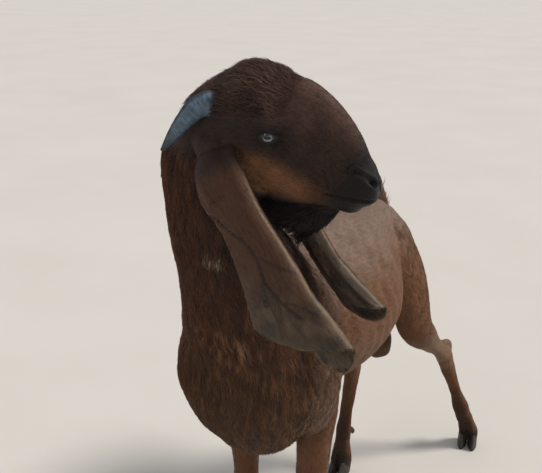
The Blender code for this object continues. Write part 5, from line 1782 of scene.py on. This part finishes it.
def light_studio():
    """A pale room with one wide soft light from the upper right behind, as the sun stood, and a weak fill."""
    world = bpy.data.worlds.new("studio")
    world.use_nodes = True
    back = world.node_tree.nodes["Background"]
    back.inputs["Color"].default_value = (0.95, 0.97, 1.0, 1.0)
    back.inputs["Strength"].default_value = 0.52
    scene = bpy.context.scene
    scene.world = world
    sun = Vector((1.15, 0.75, 1.45)).to_track_quat("Z", "Y")
    add_light("key", "SUN", (0.0, 0.0, 0.0), sun, 2.7, (1.0, 0.95, 0.88), angle=math.radians(16.0))
    stand = Vector((-0.6, -3.4, 1.9))
    fill = (Vector((0.0, -0.2, 0.7)) - stand).to_track_quat("-Z", "Y")
    add_light("fill", "AREA", stand, fill, 12.0, (1.0, 0.97, 0.94), shape="DISK", size=1.1)
    scene.view_settings.view_transform = "Standard"
    scene.view_settings.gamma = 0.92


def lay_floor():
    bm = bmesh.new()
    bmesh.ops.create_grid(bm, x_segments=8, y_segments=8, size=30.0)
    floor = object_of("floor", bm)
    floor.data.materials.append(floor_shader())
    floor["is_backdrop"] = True


def own(piece, slot, *nodes):
    """Puts a piece in the solids' place, under the root body, and hides the solids it stands for. The slot is
    not used.
    """
    piece.data.transform(Matrix.Translation(SHIFT))
    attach(piece, "root")
    if nodes:
        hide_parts(*nodes)


def main():
    place_camera()
    light_studio()
    lay_floor()

    data, points, index, region, near = whole_skin()
    normals = unit(vectors_of(data, "normal"))
    lie = lie_of_hair(points, normals, index, region, near)
    shade = coat_colour(points, normals, index)
    set_colours(data, np.concatenate([shade, np.ones((len(points), 1))], 1))
    set_vectors(data, "comb", LOFTS.comb_at(points, index))
    ahead, left, up = in_head_frame(points).T
    nose = rise(ahead - 0.35 * up, 0.250, 0.268) * (np.abs(left) < 0.05)
    bare = data.attributes.new("bare", "FLOAT", "POINT")
    bare.data.foreach_set("value", nose.astype(np.float32))
    smooth(data)
    hair = coat_shader()
    coat = grow_coat(data, points, normals, lie, region, hair)
    data.materials.clear()
    data.materials.append(skin_shader())
    skin = link("skin", data)
    surface = BVHTree.FromObject(skin, bpy.context.evaluated_depsgraph_get())
    own(skin, "coat", *[
        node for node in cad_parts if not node.startswith(("horn", "hoof", "eye"))
    ])
    for piece in coat:
        own(piece, "coat")

    horn = horn_shader("horn_slate", colour(46, 56, 66), colour(100, 120, 138), colour(30, 33, 38), 0.9)
    hoof = horn_shader("hoof_horn", colour(32, 29, 28), colour(76, 70, 66), colour(26, 24, 24), 0.0)
    eye, lid = eye_shader(), lid_shader()
    for side, word in ((-1.0, "right"), (1.0, "left")):
        own(horn_piece(side, word, horn), "horn", "horn_" + word)
        own(eye_piece(side, word, eye), "eye", "eye_" + word)
        own(lid_piece(side, word, surface, lid), "coat")
        own(lash_piece(side, word, hair), "coat")
    for name in HOOF_PLACES:
        side = side_of(name)
        for toe, label in ((side, "outer"), (-side, "inner")):
            own(claw_piece(name, label, toe, hoof), "horn", f"hoof_{name}_{label}")
        own(dewclaw_piece(name, hoof), "horn")


main()
boxes = {"solids": CAD_BOX, "dressed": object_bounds()}
{name: [list(corner) for corner in box] for name, box in boxes.items()}
